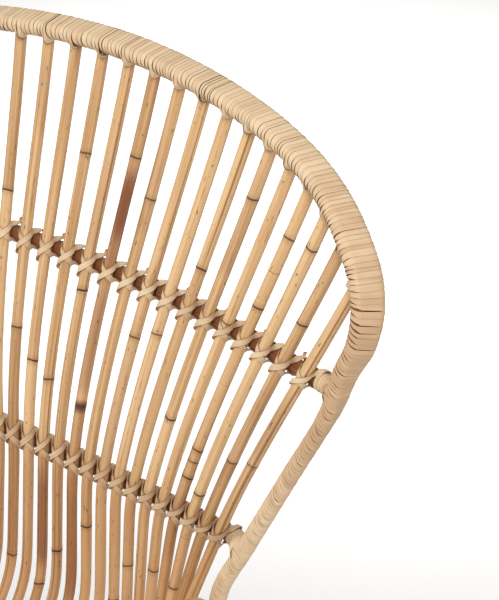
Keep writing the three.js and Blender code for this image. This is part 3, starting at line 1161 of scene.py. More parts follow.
@dataclass(frozen=True)
class Canes:
    """The canes: one length each from the seat's front, round a bend and up to the rim."""

    radius: float = 5.8
    taper: float = 0.16
    bend_drop: float = 135.0
    bend_ahead: float = 8.0
    bend_inward: float = 20.0
    bend_forward: float = 55.0
    bend_radius: float = 105.0
    bend_points: int = 9
    seat_slope: float = 0.035
    seat_front_y: float = -502.0
    seat_flare: float = 1.08
    overrun: float = 0.05
    top_share: float = 0.985
    back_points: int = 24
    ease: float = 14.0
    seat_knot: float = 130.0
    seat_knot_swing: float = 0.3
    seat_knot_beat: float = 5.0
    # The canes are ruddier and darker from the seat up to just above the lower rail: partly browner cane
    # and partly painted shade.
    low_flush_and_shade: tuple[float, float, float] = (-280.0, 20.0, 0.75)
    unseen_tone: float = 0.35
    unseen_tone_step: float = 0.03
    first_seed: int = 211
    seed_step: int = 17

    def seat_height(self, fan: Fan, y: float) -> float:
        """Height of the canes' middle lines over the seat, y as in the fan before it is centred."""
        return fan.foot_z - self.bend_drop - self.bend_radius - self.seat_slope * (y + self.bend_radius)

    def path(self, fan: Fan, f: float) -> np.ndarray:
        """The middle line of one cane, from the seat's front to the rim.

        Args:
            fan: The fan.
            f: The cane's place across it.

        Returns:
            Points along the line.
        """
        low = fan.low(f) + BACKWARDS * fan.middle_y
        bend_x = low[0] - self.bend_inward * f**3
        bend_y = low[1] - self.bend_ahead - self.bend_forward * f**4 - self.bend_radius
        points = [[bend_x * self.seat_flare, self.seat_front_y, self.seat_height(fan, self.seat_front_y)]]
        for angle in np.linspace(0.0, math.pi / 2, self.bend_points):
            y = bend_y + self.bend_radius * math.sin(angle)
            z = self.seat_height(fan, bend_y) + self.bend_radius * (1 - math.cos(angle))
            points.append([bend_x, y, z])
        seat = np.asarray(points) - BACKWARDS * fan.middle_y
        back = [fan.at(f, t) for t in np.linspace(-self.overrun, self.top_share, self.back_points)]
        return eased(np.vstack([seat, back]), self.ease)

    def stick(self, fan: Fan, index: int, f: float) -> Stick:
        """One cane, with what the photograph shows of it or else what its seed gives.

        Args:
            fan: The fan.
            index: The cane's number from the left, from 0.
            f: Its place across the fan.

        Returns:
            The cane.
        """
        path = self.path(fan, f)
        seed = self.first_seed + self.seed_step * index
        cane = Stick(path, self.radius, ACROSS, seed=seed, taper=self.taper)
        run = run_of(path)
        lowest = path[:, 2].argmin()

        def station(rise: float) -> float:
            """Distance along the cane to a rise over the fan's foot."""
            return float(np.interp(fan.foot_z + rise, path[lowest:, 2], run[lowest:]))

        # Ruddier and darker low on the back: partly browner cane, partly painted shade.
        low, high, strength = self.low_flush_and_shade
        cane.flushes = [(station(low), station(high), strength)]
        seen = SEEN_CANES.get(index + 1)
        if seen is None:
            cane.tone = self.unseen_tone + self.unseen_tone_step * ((index * 7) % 10)
            return cane
        seat_knot = self.seat_knot * (1 + self.seat_knot_swing * math.sin(self.seat_knot_beat * index))
        cane.knots = [seat_knot, *(station(rise) for rise in seen.knots)]
        cane.stains = [(station(low), station(high), strength) for low, high, strength in seen.stains]
        cane.tone = seen.tone
        cane.hue = seen.hue
        return cane

    def build(self, fan: Fan, finishes: Finishes) -> None:
        """Makes every cane.

        Args:
            fan: The fan.
            finishes: The chair's materials.
        """
        for index, f in enumerate(fan.shares()):
            name = f"cane_{index + 1:02d}"
            skin = self.stick(fan, index, f).skin()
            make_piece(name + "_round", skin, finishes.cane, Slot.CANE, [name])


@dataclass(frozen=True)
class RimJoin:
    """A cane or rail that ends in the rim, for the winding to go over.

    Fields:
        station: Its distance along the rim.
        direction: Where it leaves the rim to.
        radius: Radius of the swelling over it.
        before: How far the swelling reaches back along the rim.
        after: How far it reaches on.
        lean: How far along the rim the turns' inner side is ahead of their middle.
    """

    station: float
    direction: np.ndarray
    radius: float
    before: float
    after: float
    lean: float


@dataclass(frozen=True)
class Collar:
    """How the winding swells where a cane or rail leaves the rim.

    Fields:
        radius: Radius of the swelling.
        before: How far it reaches back along the rim.
        after: How far it reaches on.
        ahead: How far it is shifted along the rim.
        lean_factor: How far the turns lean for the cane's own lean.
    """

    radius: float
    before: float
    after: float
    ahead: float
    lean_factor: float


@dataclass
class Rim:
    """The hooped rim: a front pole, a backer behind it, and the peel wound over both."""

    fan: Fan
    # The two poles. The rows of side_shares lead down a side: shares across, backwards and up of the way
    # from the hoop's foot to the outermost cane's top, or of the drop where they are below the fan.
    hoop_radius: float = 8.75
    gap: float = GAP
    core_inset: float = 1.0
    hoop_foot_x: float = 256.0
    hoop_foot_y: float = -26.0
    drop: float = Canes.bend_drop
    side_shares: tuple[tuple[float, float, float], ...] = (
        (1.076, 0.837, 0.927),
        (1.097, 0.714, 0.863),
        (1.069, 0.633, 0.79),
        (0.972, 0.551, 0.695),
        (0.89, 0.449, 0.57),
        (0.566, 0.306, 0.29),
        (0.228, 0.163, 0.0),
        (0.028, 0.061, -0.43),
        (0.0, 0.02, -0.71),
        (0.0, 0.0, -1.26),
        (0.0, 0.0, -1.9),
    )
    backer_lean: float = math.radians(20.0)
    backer_end_rise: float = 218.0
    backer_taper: float = 150.0
    backer_fade: float = 60.0
    backer_tip: float = 2.2
    packing_share: float = 0.5
    fan_centre: tuple[float, float] = (56.0, 150.0)
    step: float = 4.0
    hoop_sides: int = 16
    hoop_seed: int = 5
    backer_sides: int = 14
    # How the winding swells over the canes and rails, and over the backer's ends.
    filled_past: float = 45.0
    collar_reach: float = 7.4
    collar_forward: float = 0.9
    cane_collar: Collar = Collar(radius=7.7, before=5.5, after=9.0, ahead=5.0, lean_factor=5.0)
    rail_collar: Collar = Collar(radius=9.2, before=12.0, after=12.0, ahead=6.0, lean_factor=0.0)
    below_top: float = 0.9
    rail_depth: float = 13.6
    rail_overrun: float = 40.0
    # The turns' widths, thickness and tones, with rises over the fan's foot for what changes down the rim.
    # Down the rim's sides the turns are darker, a painted shade, easing off again lower down.
    winding_seed: int = 40
    wound_from_rise: float = -250.0
    around: int = 30
    narrow: float = 3.2
    wide: float = 4.8
    uneven: tuple[float, float] = (0.6, 1.7)
    peel: float = 0.6
    over: tuple[float, float] = (0.1, 0.5)
    under: tuple[float, float] = (-0.25, -0.05)
    tone: tuple[float, float] = (0.2, 0.55)
    low_span: float = 110.0
    low_below: float = 400.0
    low_painted_shade: float = 0.65
    paler_below: float = 170.0
    paler: float = 0.9
    # How far the turns lean along the rim.
    lean_plain: float = 1.2
    lean_most: float = 8.0
    waves: tuple[tuple[float, float, float], ...] = ((0.9, 41.0, 0.0), (0.6, 17.0, 2.0))
    jitter: float = 1.1
    slanted_below: float = 330.0
    slant: float = 9.0
    # The slits between the turns: their widths, where they open, and how far a shut slit weakens the
    # painted shade on the strips' sides.
    slit: tuple[float, float] = (0.3, 1.0)
    bold_slit: tuple[float, float] = (1.0, 1.5)
    bold_share: float = 0.2
    bold_low: float = 2.0
    low_slit: float = 1.1
    bare_slit: float = 0.9
    slit_most: float = 0.6
    slit_gain: float = 2.8
    shut: tuple[float, float] = (-0.2, 1.3)
    low_turn: float = math.radians(50.0)
    top_from: float = 418.0
    top_gain: float = 3.5
    top_open: float = 0.6
    least_open: float = 0.05
    closed_most: float = 0.95
    closed_fall: float = 1.4
    # What is worked out from the sizes.
    line: np.ndarray = field(init=False)
    run: np.ndarray = field(init=False)
    away: np.ndarray = field(init=False)
    tangents: np.ndarray = field(init=False)
    backer: np.ndarray = field(init=False)
    filled: np.ndarray = field(init=False)

    def __post_init__(self) -> None:
        """Sets out the rim's middle line and what lies across it."""
        top = self.fan.top(1.0)
        foot_y = self.hoop_foot_y - self.fan.middle_y
        side = []
        for across, backwards, upwards in self.side_shares:
            x = self.hoop_foot_x + (top[0] - self.hoop_foot_x) * across
            y = foot_y + (top[1] - foot_y) * backwards
            rise = upwards * (top[2] - self.fan.foot_z) if upwards > 0 else upwards * self.drop
            side.append([x, y, self.fan.foot_z + rise])
        left = [[-x, y, z] for x, y, z in reversed(side)]
        tops = [self.fan.top(f).tolist() for f in self.fan.shares()]
        self.line = bent_through([*left, *tops, *side], self.step)
        self.run = run_of(self.line)
        self.tangents = tangents_of(self.line)
        centre_y, centre_rise = self.fan_centre
        centre = np.array([0.0, centre_y - self.fan.middle_y, self.fan.foot_z + centre_rise])
        outward = square_to(self.line - centre, self.tangents)
        back = np.cross(outward, self.tangents)
        self.away = back * math.cos(self.backer_lean) + outward * math.sin(self.backer_lean)
        raised = self.run[self.line[:, 2] > self.fan.foot_z + self.backer_end_rise]
        inside = np.minimum(self.run - raised[0], raised[-1] - self.run)
        self.backer = self.backer_radius(inside)
        self.filled = self.backer_radius(inside + self.filled_past)

    def backer_radius(self, inside: np.ndarray) -> np.ndarray:
        """The second pole's radius, fading out beyond its ends.

        Args:
            inside: Distances from its nearer end, less than 0 beyond it.

        Returns:
            A radius for each distance.
        """
        fullness = np.sin(np.clip(inside / self.backer_taper, 0.0, 1.0) * math.pi / 2)
        fade = np.clip(1 + inside / self.backer_fade, 0.0, 1.0)
        return fade * (self.backer_tip + (self.hoop_radius - self.backer_tip) * fullness)

    def hoop_line(self) -> np.ndarray:
        """The front pole's middle line."""
        return self.line - self.away * (self.backer + self.gap / 2)[:, None]

    def station_near(self, place: np.ndarray) -> float:
        """The distance along the rim of its point nearest to a place."""
        return float(self.run[np.linalg.norm(self.line - place, axis=1).argmin()])

    def join_at(self, place: np.ndarray, direction: np.ndarray, collar: Collar, ahead: float) -> RimJoin:
        """A join of the rim with a cane or rail that leaves it in a direction.

        Args:
            place: Where it is.
            direction: Where the cane or rail goes.
            collar: How the winding swells there.
            ahead: How far the swelling is shifted along the rim.

        Returns:
            The join.
        """
        station = self.station_near(place)
        slope = float(np.dot(direction, self.at(self.tangents, station)))
        square = math.sqrt(max(1e-3, 1 - slope**2))
        lean = self.lean_plain - collar.lean_factor * slope / square
        return RimJoin(
            station=station + self.hoop_radius * slope / square + ahead,
            direction=direction,
            radius=collar.radius,
            before=collar.before / square**2,
            after=collar.after / square,
            lean=float(np.clip(lean, -self.lean_most, self.lean_most)),
        )

    def at(self, values: np.ndarray, stations: Any) -> np.ndarray:
        """Values of the rim at distances along it."""
        return carried(self.line, values, stations)

    def lowness(self, stations: Any, below: float) -> np.ndarray:
        """How far down the rim stations are, from 0 at a rise over the fan's foot to 1."""
        rise = np.interp(stations, self.run, self.line[:, 2]) - self.fan.foot_z
        return np.clip((below - rise) / self.low_span, 0.0, 1.0)

    def joins(self) -> list[RimJoin]:
        """Every cane's top and every rail's end.

        Returns:
            The joins in order along the rim.
        """
        found = []
        for f in self.fan.shares():
            direction = unit(self.fan.at(f, self.below_top) - self.fan.top(f))
            found.append(self.join_at(self.fan.top(f), direction, self.cane_collar, self.cane_collar.ahead))
        for level in Level:
            for side in Side:
                here = crossing(self.fan, float(side.value), level.value)
                inward = -here.along * side.value
                end = here.centre + here.back * self.rail_depth - inward * self.rail_overrun
                ahead = -self.rail_collar.ahead * side.value
                found.append(self.join_at(end, inward, self.rail_collar, ahead))
        return sorted(found, key=lambda join: join.station)

    def turns(
        self, joins: Sequence[RimJoin], rng: np.random.Generator
    ) -> tuple[np.ndarray, np.ndarray, np.ndarray]:
        """Sets out the winding's turns along the rim.

        Args:
            joins: The canes and rails that leave it.
            rng: Source of small differences.

        Returns:
            The turns' edges, and for each turn its tone and the width of the slit after it.
        """
        wound = self.run[self.line[:, 2] > self.fan.foot_z + self.wound_from_rise]
        starts = np.array([join.station - join.before for join in joins])
        place = wound[0]
        edges, tones, slits = [place], [], []
        while place < wound[-1]:
            backed = float(np.interp(place, self.run, self.backer)) / self.hoop_radius
            width = (self.narrow + (self.wide - self.narrow) * backed) * rng.uniform(*self.uneven)
            joins_here = np.any((starts > place) & (starts <= place + width))
            low = float(self.lowness(place, self.low_below))
            bold = joins_here or rng.uniform() < self.bold_share * (1 + self.bold_low * low)
            slit = rng.uniform(*(self.bold_slit if bold else self.slit))
            slit *= (1 + self.low_slit * low * backed) * (self.bare_slit + (1 - self.bare_slit) * backed)
            slits.append(min(slit, self.slit_most * width))
            paler = 1 - self.paler * float(self.lowness(place, self.paler_below))
            # Painted shade: the turns are darker lower down the rim's sides, less so again near its foot.
            tones.append(rng.uniform(*self.tone) + self.low_painted_shade * low * paler)
            place += width
            edges.append(place)
        return np.asarray(edges), np.asarray(tones), np.asarray(slits)

    def outline(
        self, stations: np.ndarray, angles: np.ndarray, joins: Sequence[RimJoin]
    ) -> tuple[np.ndarray, np.ndarray]:
        """The outer face of the winding at given stations and directions round the rim.

        Args:
            stations: Distances along the rim.
            angles: Directions round it, from the backer's side.
            joins: The canes and rails that it goes over.

        Returns:
            Places and outward normals.
        """
        middle = self.at(self.line, stations)
        tangent = unit(self.at(self.tangents, stations))
        away = square_to(self.at(self.away, stations), tangent)
        normal = facing(away, np.cross(tangent, away), angles)
        offset = stations - np.array([join.station for join in joins])[:, None]
        before = np.array([join.before for join in joins])[:, None]
        after = np.array([join.after for join in joins])[:, None]
        strength = bell(offset, np.where(offset < 0, before, after))
        chosen = strength.argmax(axis=0)
        bump = strength.max(axis=0)[:, None]
        towards = square_to(np.array([join.direction for join in joins])[chosen], tangent)
        radius = np.array([join.radius for join in joins])[chosen][:, None]
        hoop = -away * (np.interp(stations, self.run, self.backer) + self.gap / 2)[:, None]
        centres = (
            hoop,
            away * (self.hoop_radius + self.gap / 2),
            (hoop * self.collar_forward + towards * self.collar_reach) * bump,
        )
        filled = np.interp(stations, self.run, self.filled)
        radii = (np.full_like(bump, self.hoop_radius), filled[:, None], radius * bump)
        support = np.concatenate([dot(c, normal) + r for c, r in zip(centres, radii)], axis=1)
        best = support.argmax(axis=1)
        offsets = np.stack([c + normal * r for c, r in zip(centres, radii)])[best, np.arange(len(best))]
        return middle + offsets, normal

    def opened(self, stations: np.ndarray, angles: np.ndarray, shut: np.ndarray) -> np.ndarray:
        """How far the slit beside a turn stands open, most of all on the rim's inner side.

        Args:
            stations: Distances along the rim.
            angles: Directions round it, from the backer's side.
            shut: How firmly the slits are shut.

        Returns:
            Shares of the slits' full widths.
        """
        low = self.lowness(stations, self.low_below)
        faced = 0.5 - 0.5 * np.sin(angles + self.low_turn * low)
        top = 1 - np.clip(self.top_gain * self.lowness(stations, self.top_from), 0.0, 1.0)
        return np.clip(self.slit_gain * faced - (shut - self.top_open * top), self.least_open, 1.0)

    def wave(self, stations: np.ndarray) -> np.ndarray:
        """How far the turns lean to and fro along the rim."""
        return sum(size * np.sin(stations / length + phase) for size, length, phase in self.waves)

    def slant_at(self, stations: np.ndarray) -> np.ndarray:
        """How far the turns low on either side of the rim are set askew, with their inner side higher."""
        side = np.sign(np.interp(stations, self.run, self.line[:, 0]))
        return self.slant * side * self.lowness(stations, self.slanted_below)

    def winding(self) -> Skin:
        """The peel wound over the rim as one long strip, its turns side by side with slits between.

        Returns:
            The strip's skin.
        """
        rng = np.random.default_rng(self.winding_seed)
        joins = self.joins()
        edges, tones, slits = self.turns(joins, rng)
        count = len(tones) - 1
        samples = np.arange(count * self.around + 1) / self.around
        whole = np.minimum(samples.astype(int), count - 1)
        angles = 2 * math.pi * (samples % 1.0)
        numbers = np.arange(len(edges))
        start = np.interp(samples, numbers, edges)
        opened = self.opened(start, angles, rng.uniform(*self.shut, count)[whole])
        end = np.interp(samples + 1.0, numbers, edges) - slits[whole] * opened
        jitter = rng.uniform(-self.jitter, self.jitter, len(edges))
        over = np.interp(samples, numbers, rng.uniform(*self.over, len(edges)))
        under = np.interp(samples, numbers, rng.uniform(*self.under, len(edges)))
        stations = np.array([join.station for join in joins])
        leans = np.array([join.lean for join in joins])
        corners, lays = [], []
        for ahead, edge, lift in ((0.0, start, under), (1.0, end, over)):
            lean = np.interp(edge, stations, leans) + self.wave(edge)
            lean = lean + np.interp(samples + ahead, numbers, jitter) - self.slant_at(edge)
            places, normals = self.outline(edge - lean * np.sin(angles), angles, joins)
            top = places + normals * lift[:, None]
            corners.append((top, places + normals * (lift - self.peel)[:, None]))
            lays.append(edge - start + STRIP_SHIFT * tones[whole])
        (left_top, left_low), (right_top, right_low) = corners
        rings = np.stack([right_low, left_low, left_top, right_top], axis=1)
        run = run_of(left_top)
        zeros = np.zeros_like(run)
        lay = np.stack([np.stack([lays[k], zeros, run], axis=-1) for k in (1, 0, 0, 1)], axis=1)
        # How shut each slit is, which weakens the painted shade on the strips' side walls.
        closed = np.clip(self.closed_most - self.closed_fall * opened, 0.0, 1.0)
        values = {"tone": tones[whole], "closed": closed}
        return lofted(rings, lay, spread_round(values, len(STRIP_SIDES)), ridged=True)

    def build(self, finishes: Finishes) -> None:
        """Makes the two poles and the winding.

        Args:
            finishes: The chair's materials.
        """
        # Painted shade: the hoop's core, the backer and the packing in the groove between them take the
        # dark rattan finish, so the slits between the turns show dark.
        core_radius = self.hoop_radius - self.core_inset
        hoop = Stick(self.hoop_line(), core_radius, BACKWARDS, seed=self.hoop_seed, sides=self.hoop_sides)
        make_piece("hoop_pole_core", hoop.skin(), finishes.dark, Slot.PEEL, ["hoop_pole"])
        backed = self.line[:, 2] > self.fan.foot_z + self.backer_end_rise
        radius = self.backer[backed]
        behind = (self.line + self.away * (self.hoop_radius + self.gap / 2))[backed]
        between = (self.line + self.away * (self.hoop_radius - self.backer)[:, None])[backed]
        backer = tapered(behind, radius - self.core_inset, self.backer_sides)
        packing = tapered(between, self.packing_share * radius, self.backer_sides)
        make_piece("hoop_backer_core", joined([backer, packing]), finishes.dark, Slot.PEEL, ["hoop_backer"])
        make_piece("rim_winding", self.winding(), finishes.peel, Slot.PEEL)


def tapered(line: np.ndarray, radii: np.ndarray, sides: int) -> Skin:
    """A plain round pole whose radius changes along it.

    Args:
        line: Its middle line.
        radii: Its radius at each point of the line.
        sides: Points round it.

    Returns:
        The pole's skin, with no knot on it.
    """
    tangents = tangents_of(line)
    normals = square_to(np.broadcast_to(BACKWARDS, tangents.shape), tangents)
    angles = all_round(sides)
    rings = line[:, None] + radii[:, None, None] * turned(normals, np.cross(tangents, normals), angles)
    lay = np.empty_like(rings)
    lay[..., 0] = np.cos(angles) * radii[:, None]
    lay[..., 1] = np.sin(angles) * radii[:, None]
    lay[..., 2] = run_of(line)[:, None]
    return lofted(rings, lay, {"ring": np.full(rings.shape[:2], FAR_FROM_KNOT)})


@dataclass(frozen=True)
class BackRail:
    """A dark rail behind the canes, with its lashing and its wrapped ends.

    Degrees run round the rail from its front over its top, or round a cane from its front to the right.
    """

    fan: Fan
    rim: Rim
    level: Level
    rising: tuple[float, float]
    falling: tuple[float, float]
    # The rail.
    cane_radius: float = Canes.radius
    radius: float = 8.6
    gap: float = GAP
    overrun: float = 0.065
    ease: float = 8.0
    sides: int = 16
    rail_seed: int = 700
    # The lashing's strip and its way round every cane.
    lashing_seed: int = 900
    strip_width: float = 6.2
    strip_thickness: float = 1.0
    strip_rounding: float = 0.25
    left_reach: float = 8.6
    right_reach: float = 7.4
    reach_range: tuple[float, float] = (0.94, 1.06)
    loose: float = 1.5
    over_rail: float = 3.0
    layer: float = 1.15
    left_up: tuple[int, ...] = (180, 140, 100)
    over_front: tuple[int, ...] = (-95, -70, -45, -20, 5, 30, 55, 80, 105)
    right_round: tuple[int, ...] = (312, 285, 260, 232, 205, 180, 150)
    right_top: tuple[int, ...] = (120, 90)
    left_down: tuple[int, ...] = (268, 235, 205, 184)
    tone: float = 0.4
    tone_range: tuple[float, float] = (-0.15, 0.2)
    # How much darker the strip's turns round the rail are: a painted shade.
    painted_shade_tone: float = 0.35
    crossed_tone: float = 0.12
    # The cut ends that stand up beside every other cane.
    cut_degrees: float = 95.0
    cut_curl: tuple[float, float] = (4.0, 7.0)
    cut_turn: tuple[float, float] = (0.6, 1.8)
    cut_lean: tuple[float, float] = (0.2, 0.8)
    cut_points: int = 8
    cut_width: float = 3.6
    cut_thickness: float = 0.8
    cut_tone: float = 0.4
    # The wraps at the rail's two ends.
    wrap_start: float = 2.5
    wrap_peel: PeelTurns = PeelTurns(pitch=4.8, width=5.7, rounding=0.15, tone=0.45, swing=0.25, beat=5.0)
    wrap_around: int = 20
    wrap_step: float = 2.0
    wrap_tilt: float = 0.09
    wrap_flare: float = 3.0
    wrap_flare_reach: float = 8.0
    wrap_slant: float = 2.2

    def depth(self) -> float:
        """How far the rail's middle line is behind the canes' middle lines."""
        return self.cane_radius + self.radius + self.gap

    def path(self) -> np.ndarray:
        """The rail's middle line from hoop to hoop.

        Returns:
            Points along it.
        """
        shares = [-1 - self.overrun, *self.fan.shares(), 1 + self.overrun]
        crossings = [crossing(self.fan, float(f), self.level.value) for f in shares]
        behind = [here.centre + here.back * self.depth() for here in crossings]
        hoop = self.rim.hoop_line()
        height = self.fan.foot_z + self.level.value
        ends = []
        for side in Side:
            there = hoop[hoop[:, 0] * side.value > 0]
            ends.append(there[np.abs(there[:, 2] - height).argmin()])
        return np.vstack([ends[0], behind, ends[1]])

    def over_cane(
        self, here: Crossing, degrees: float, slope: tuple[float, float], lift: float
    ) -> tuple[np.ndarray, np.ndarray]:
        """A place of the strip on a cane, and its outward direction.

        Args:
            here: Where the cane crosses the rail.
            degrees: Direction round the cane.
            slope: Rise of the strip at the front, and for each degree.
            lift: How far it lies above what is under it.

        Returns:
            The place and the direction.
        """
        angle = math.radians(degrees)
        normal = square_to(here.along, here.cane) * math.sin(angle) - here.back * math.cos(angle)
        stand_off = self.loose * math.sin(angle) ** 2 if degrees < 0 else 0.0
        reach = self.cane_radius + self.strip_thickness + lift + stand_off
        rise = slope[0] + slope[1] * degrees
        return here.centre + normal * reach + here.cane * rise, normal

    def round_rail(
        self, here: Crossing, degrees: float, reach: float, lift: float
    ) -> tuple[np.ndarray, np.ndarray]:
        """A place of the strip round the rail beside a cane, and its outward direction.

        Args:
            here: Where the cane crosses the rail.
            degrees: Direction round the rail.
            reach: How far to the right of the cane the strip lies.
            lift: How far it stands off the rail.

        Returns:
            The place and the direction.
        """
        angle = math.radians(degrees)
        normal = here.up * math.sin(angle) - here.back * math.cos(angle)
        out = self.radius + self.strip_thickness + self.gap + lift
        slope = float(np.dot(here.cane, here.along) / np.dot(here.cane, here.up))
        sideways = reach + slope * out * math.sin(angle)
        axis = here.centre + here.back * self.depth() + here.along * sideways
        return axis + normal * out, normal

    def lashing(self) -> Skin:
        """One strip that crosses every cane twice, with a turn round the rail between.

        Returns:
            The skin of the strip and of the cut ends beside it.
        """
        rng = np.random.default_rng(int(self.lashing_seed + self.level.value))
        frames = [crossing(self.fan, float(f), self.level.value) for f in self.fan.shares()]
        thread = Thread()
        for here in frames:
            over = self.tone + float(rng.uniform(*self.tone_range))
            # Painted shade: the turns round the rail are darker than the passes over the cane.
            shaded = over + self.painted_shade_tone
            crossed = over + self.crossed_tone
            reach = self.right_reach * float(rng.uniform(*self.reach_range))
            for degrees in self.left_up:
                thread.add(*self.round_rail(here, degrees, -self.left_reach, 0.0), shaded)
            for degrees in self.over_front:
                thread.add(*self.over_cane(here, degrees, self.falling, 0.0), crossed)
            for degrees in self.right_round:
                thread.add(*self.round_rail(here, degrees, reach, 0.0), shaded)
            for degrees in self.right_top:
                thread.add(*self.round_rail(here, degrees, reach, self.over_rail), over)
            for degrees in reversed(self.over_front):
                thread.add(*self.over_cane(here, degrees, self.rising, self.layer), over)
            for degrees in self.left_down:
                thread.add(*self.round_rail(here, degrees, -self.left_reach, 0.0), shaded)
        strips = [thread.strip(self.strip_width, self.strip_thickness, self.strip_rounding)]
        strips.extend(self.cut_end(here, rng) for here in frames[::2])
        return joined(strips)

    def cut_end(self, here: Crossing, rng: np.random.Generator) -> Skin:
        """A short cut end of peel that curls up beside a cane.

        Args:
            here: Where the cane crosses the rail.
            rng: Source of small differences.

        Returns:
            The end's skin.
        """
        start, _ = self.round_rail(here, self.cut_degrees, self.right_reach, self.over_rail)
        curl = rng.uniform(*self.cut_curl)
        turn = np.linspace(0.0, rng.uniform(*self.cut_turn), self.cut_points)[:, None]
        lean = unit(here.along - here.back * rng.uniform(*self.cut_lean))
        path = start + here.up * (curl * np.sin(turn)) + lean * (curl * (1 - np.cos(turn)))
        normals = here.up * np.sin(turn) - lean * np.cos(turn)
        widths = np.full(self.cut_points, self.cut_width)
        tones = np.full(self.cut_points, self.cut_tone)
        return PeelStrip(path, normals, widths, tones, self.cut_thickness, self.strip_rounding).skin()

    def end_wrap(self, path: np.ndarray, side: Side) -> Skin:
        """Turns of peel round the rail from the hoop to the last cane's lashing.

        Args:
            path: The rail's middle line.
            side: The side of the chair.

        Returns:
            The wound strip's skin.
        """
        line = evenly(path if side is Side.LEFT else path[::-1], self.wrap_step)
        here = crossing(self.fan, float(side.value), self.level.value)
        rail = here.centre + here.back * self.depth()
        span = run_of(line)[np.linalg.norm(line - rail, axis=1).argmin()]
        count = (span - self.right_reach - self.wrap_start) / self.wrap_peel.pitch
        turns = np.arange(int(count * self.wrap_around)) / self.wrap_around
        angles = 2 * math.pi * turns
        along = self.wrap_peel.pitch * turns
        stations = self.wrap_start + along + self.wrap_slant * np.cos(angles)
        tangents = unit(carried(line, tangents_of(line), stations))
        up = square_to(np.broadcast_to(UPWARDS, tangents.shape), tangents)
        normals = facing(np.cross(tangents, up), up, angles)
        flare = self.wrap_flare * np.exp(-along / self.wrap_flare_reach)
        out = self.radius + self.gap + self.strip_thickness + flare
        places = along_path(line, stations) + normals * out[:, None]
        return self.wrap_peel.skin(places, unit(normals + tangents * self.wrap_tilt), turns)

    def build(self, finishes: Finishes) -> None:
        """Makes the rail, its lashing and its end wraps.

        Args:
            finishes: The chair's materials.
        """
        name = self.level.name.lower()
        path = eased(self.path(), self.ease)
        seed = int(self.rail_seed + self.level.value)
        stick = Stick(path, self.radius, UPWARDS, seed=seed, sides=self.sides)
        # The rail's dark finish is partly its darker skin and partly painted shade behind the canes.
        make_piece(f"{name}_rail_round", stick.skin(), finishes.dark, Slot.DARK_RATTAN, [f"{name}_rail"])
        make_piece(f"{name}_lashing_crossed", self.lashing(), finishes.peel, Slot.PEEL, [f"{name}_lashing"])
        for side in Side:
            node = f"{name}_rail_wrap_{side.name.lower()}"
            make_piece(f"{node}_wound", self.end_wrap(path, side), finishes.peel, Slot.PEEL, [node])


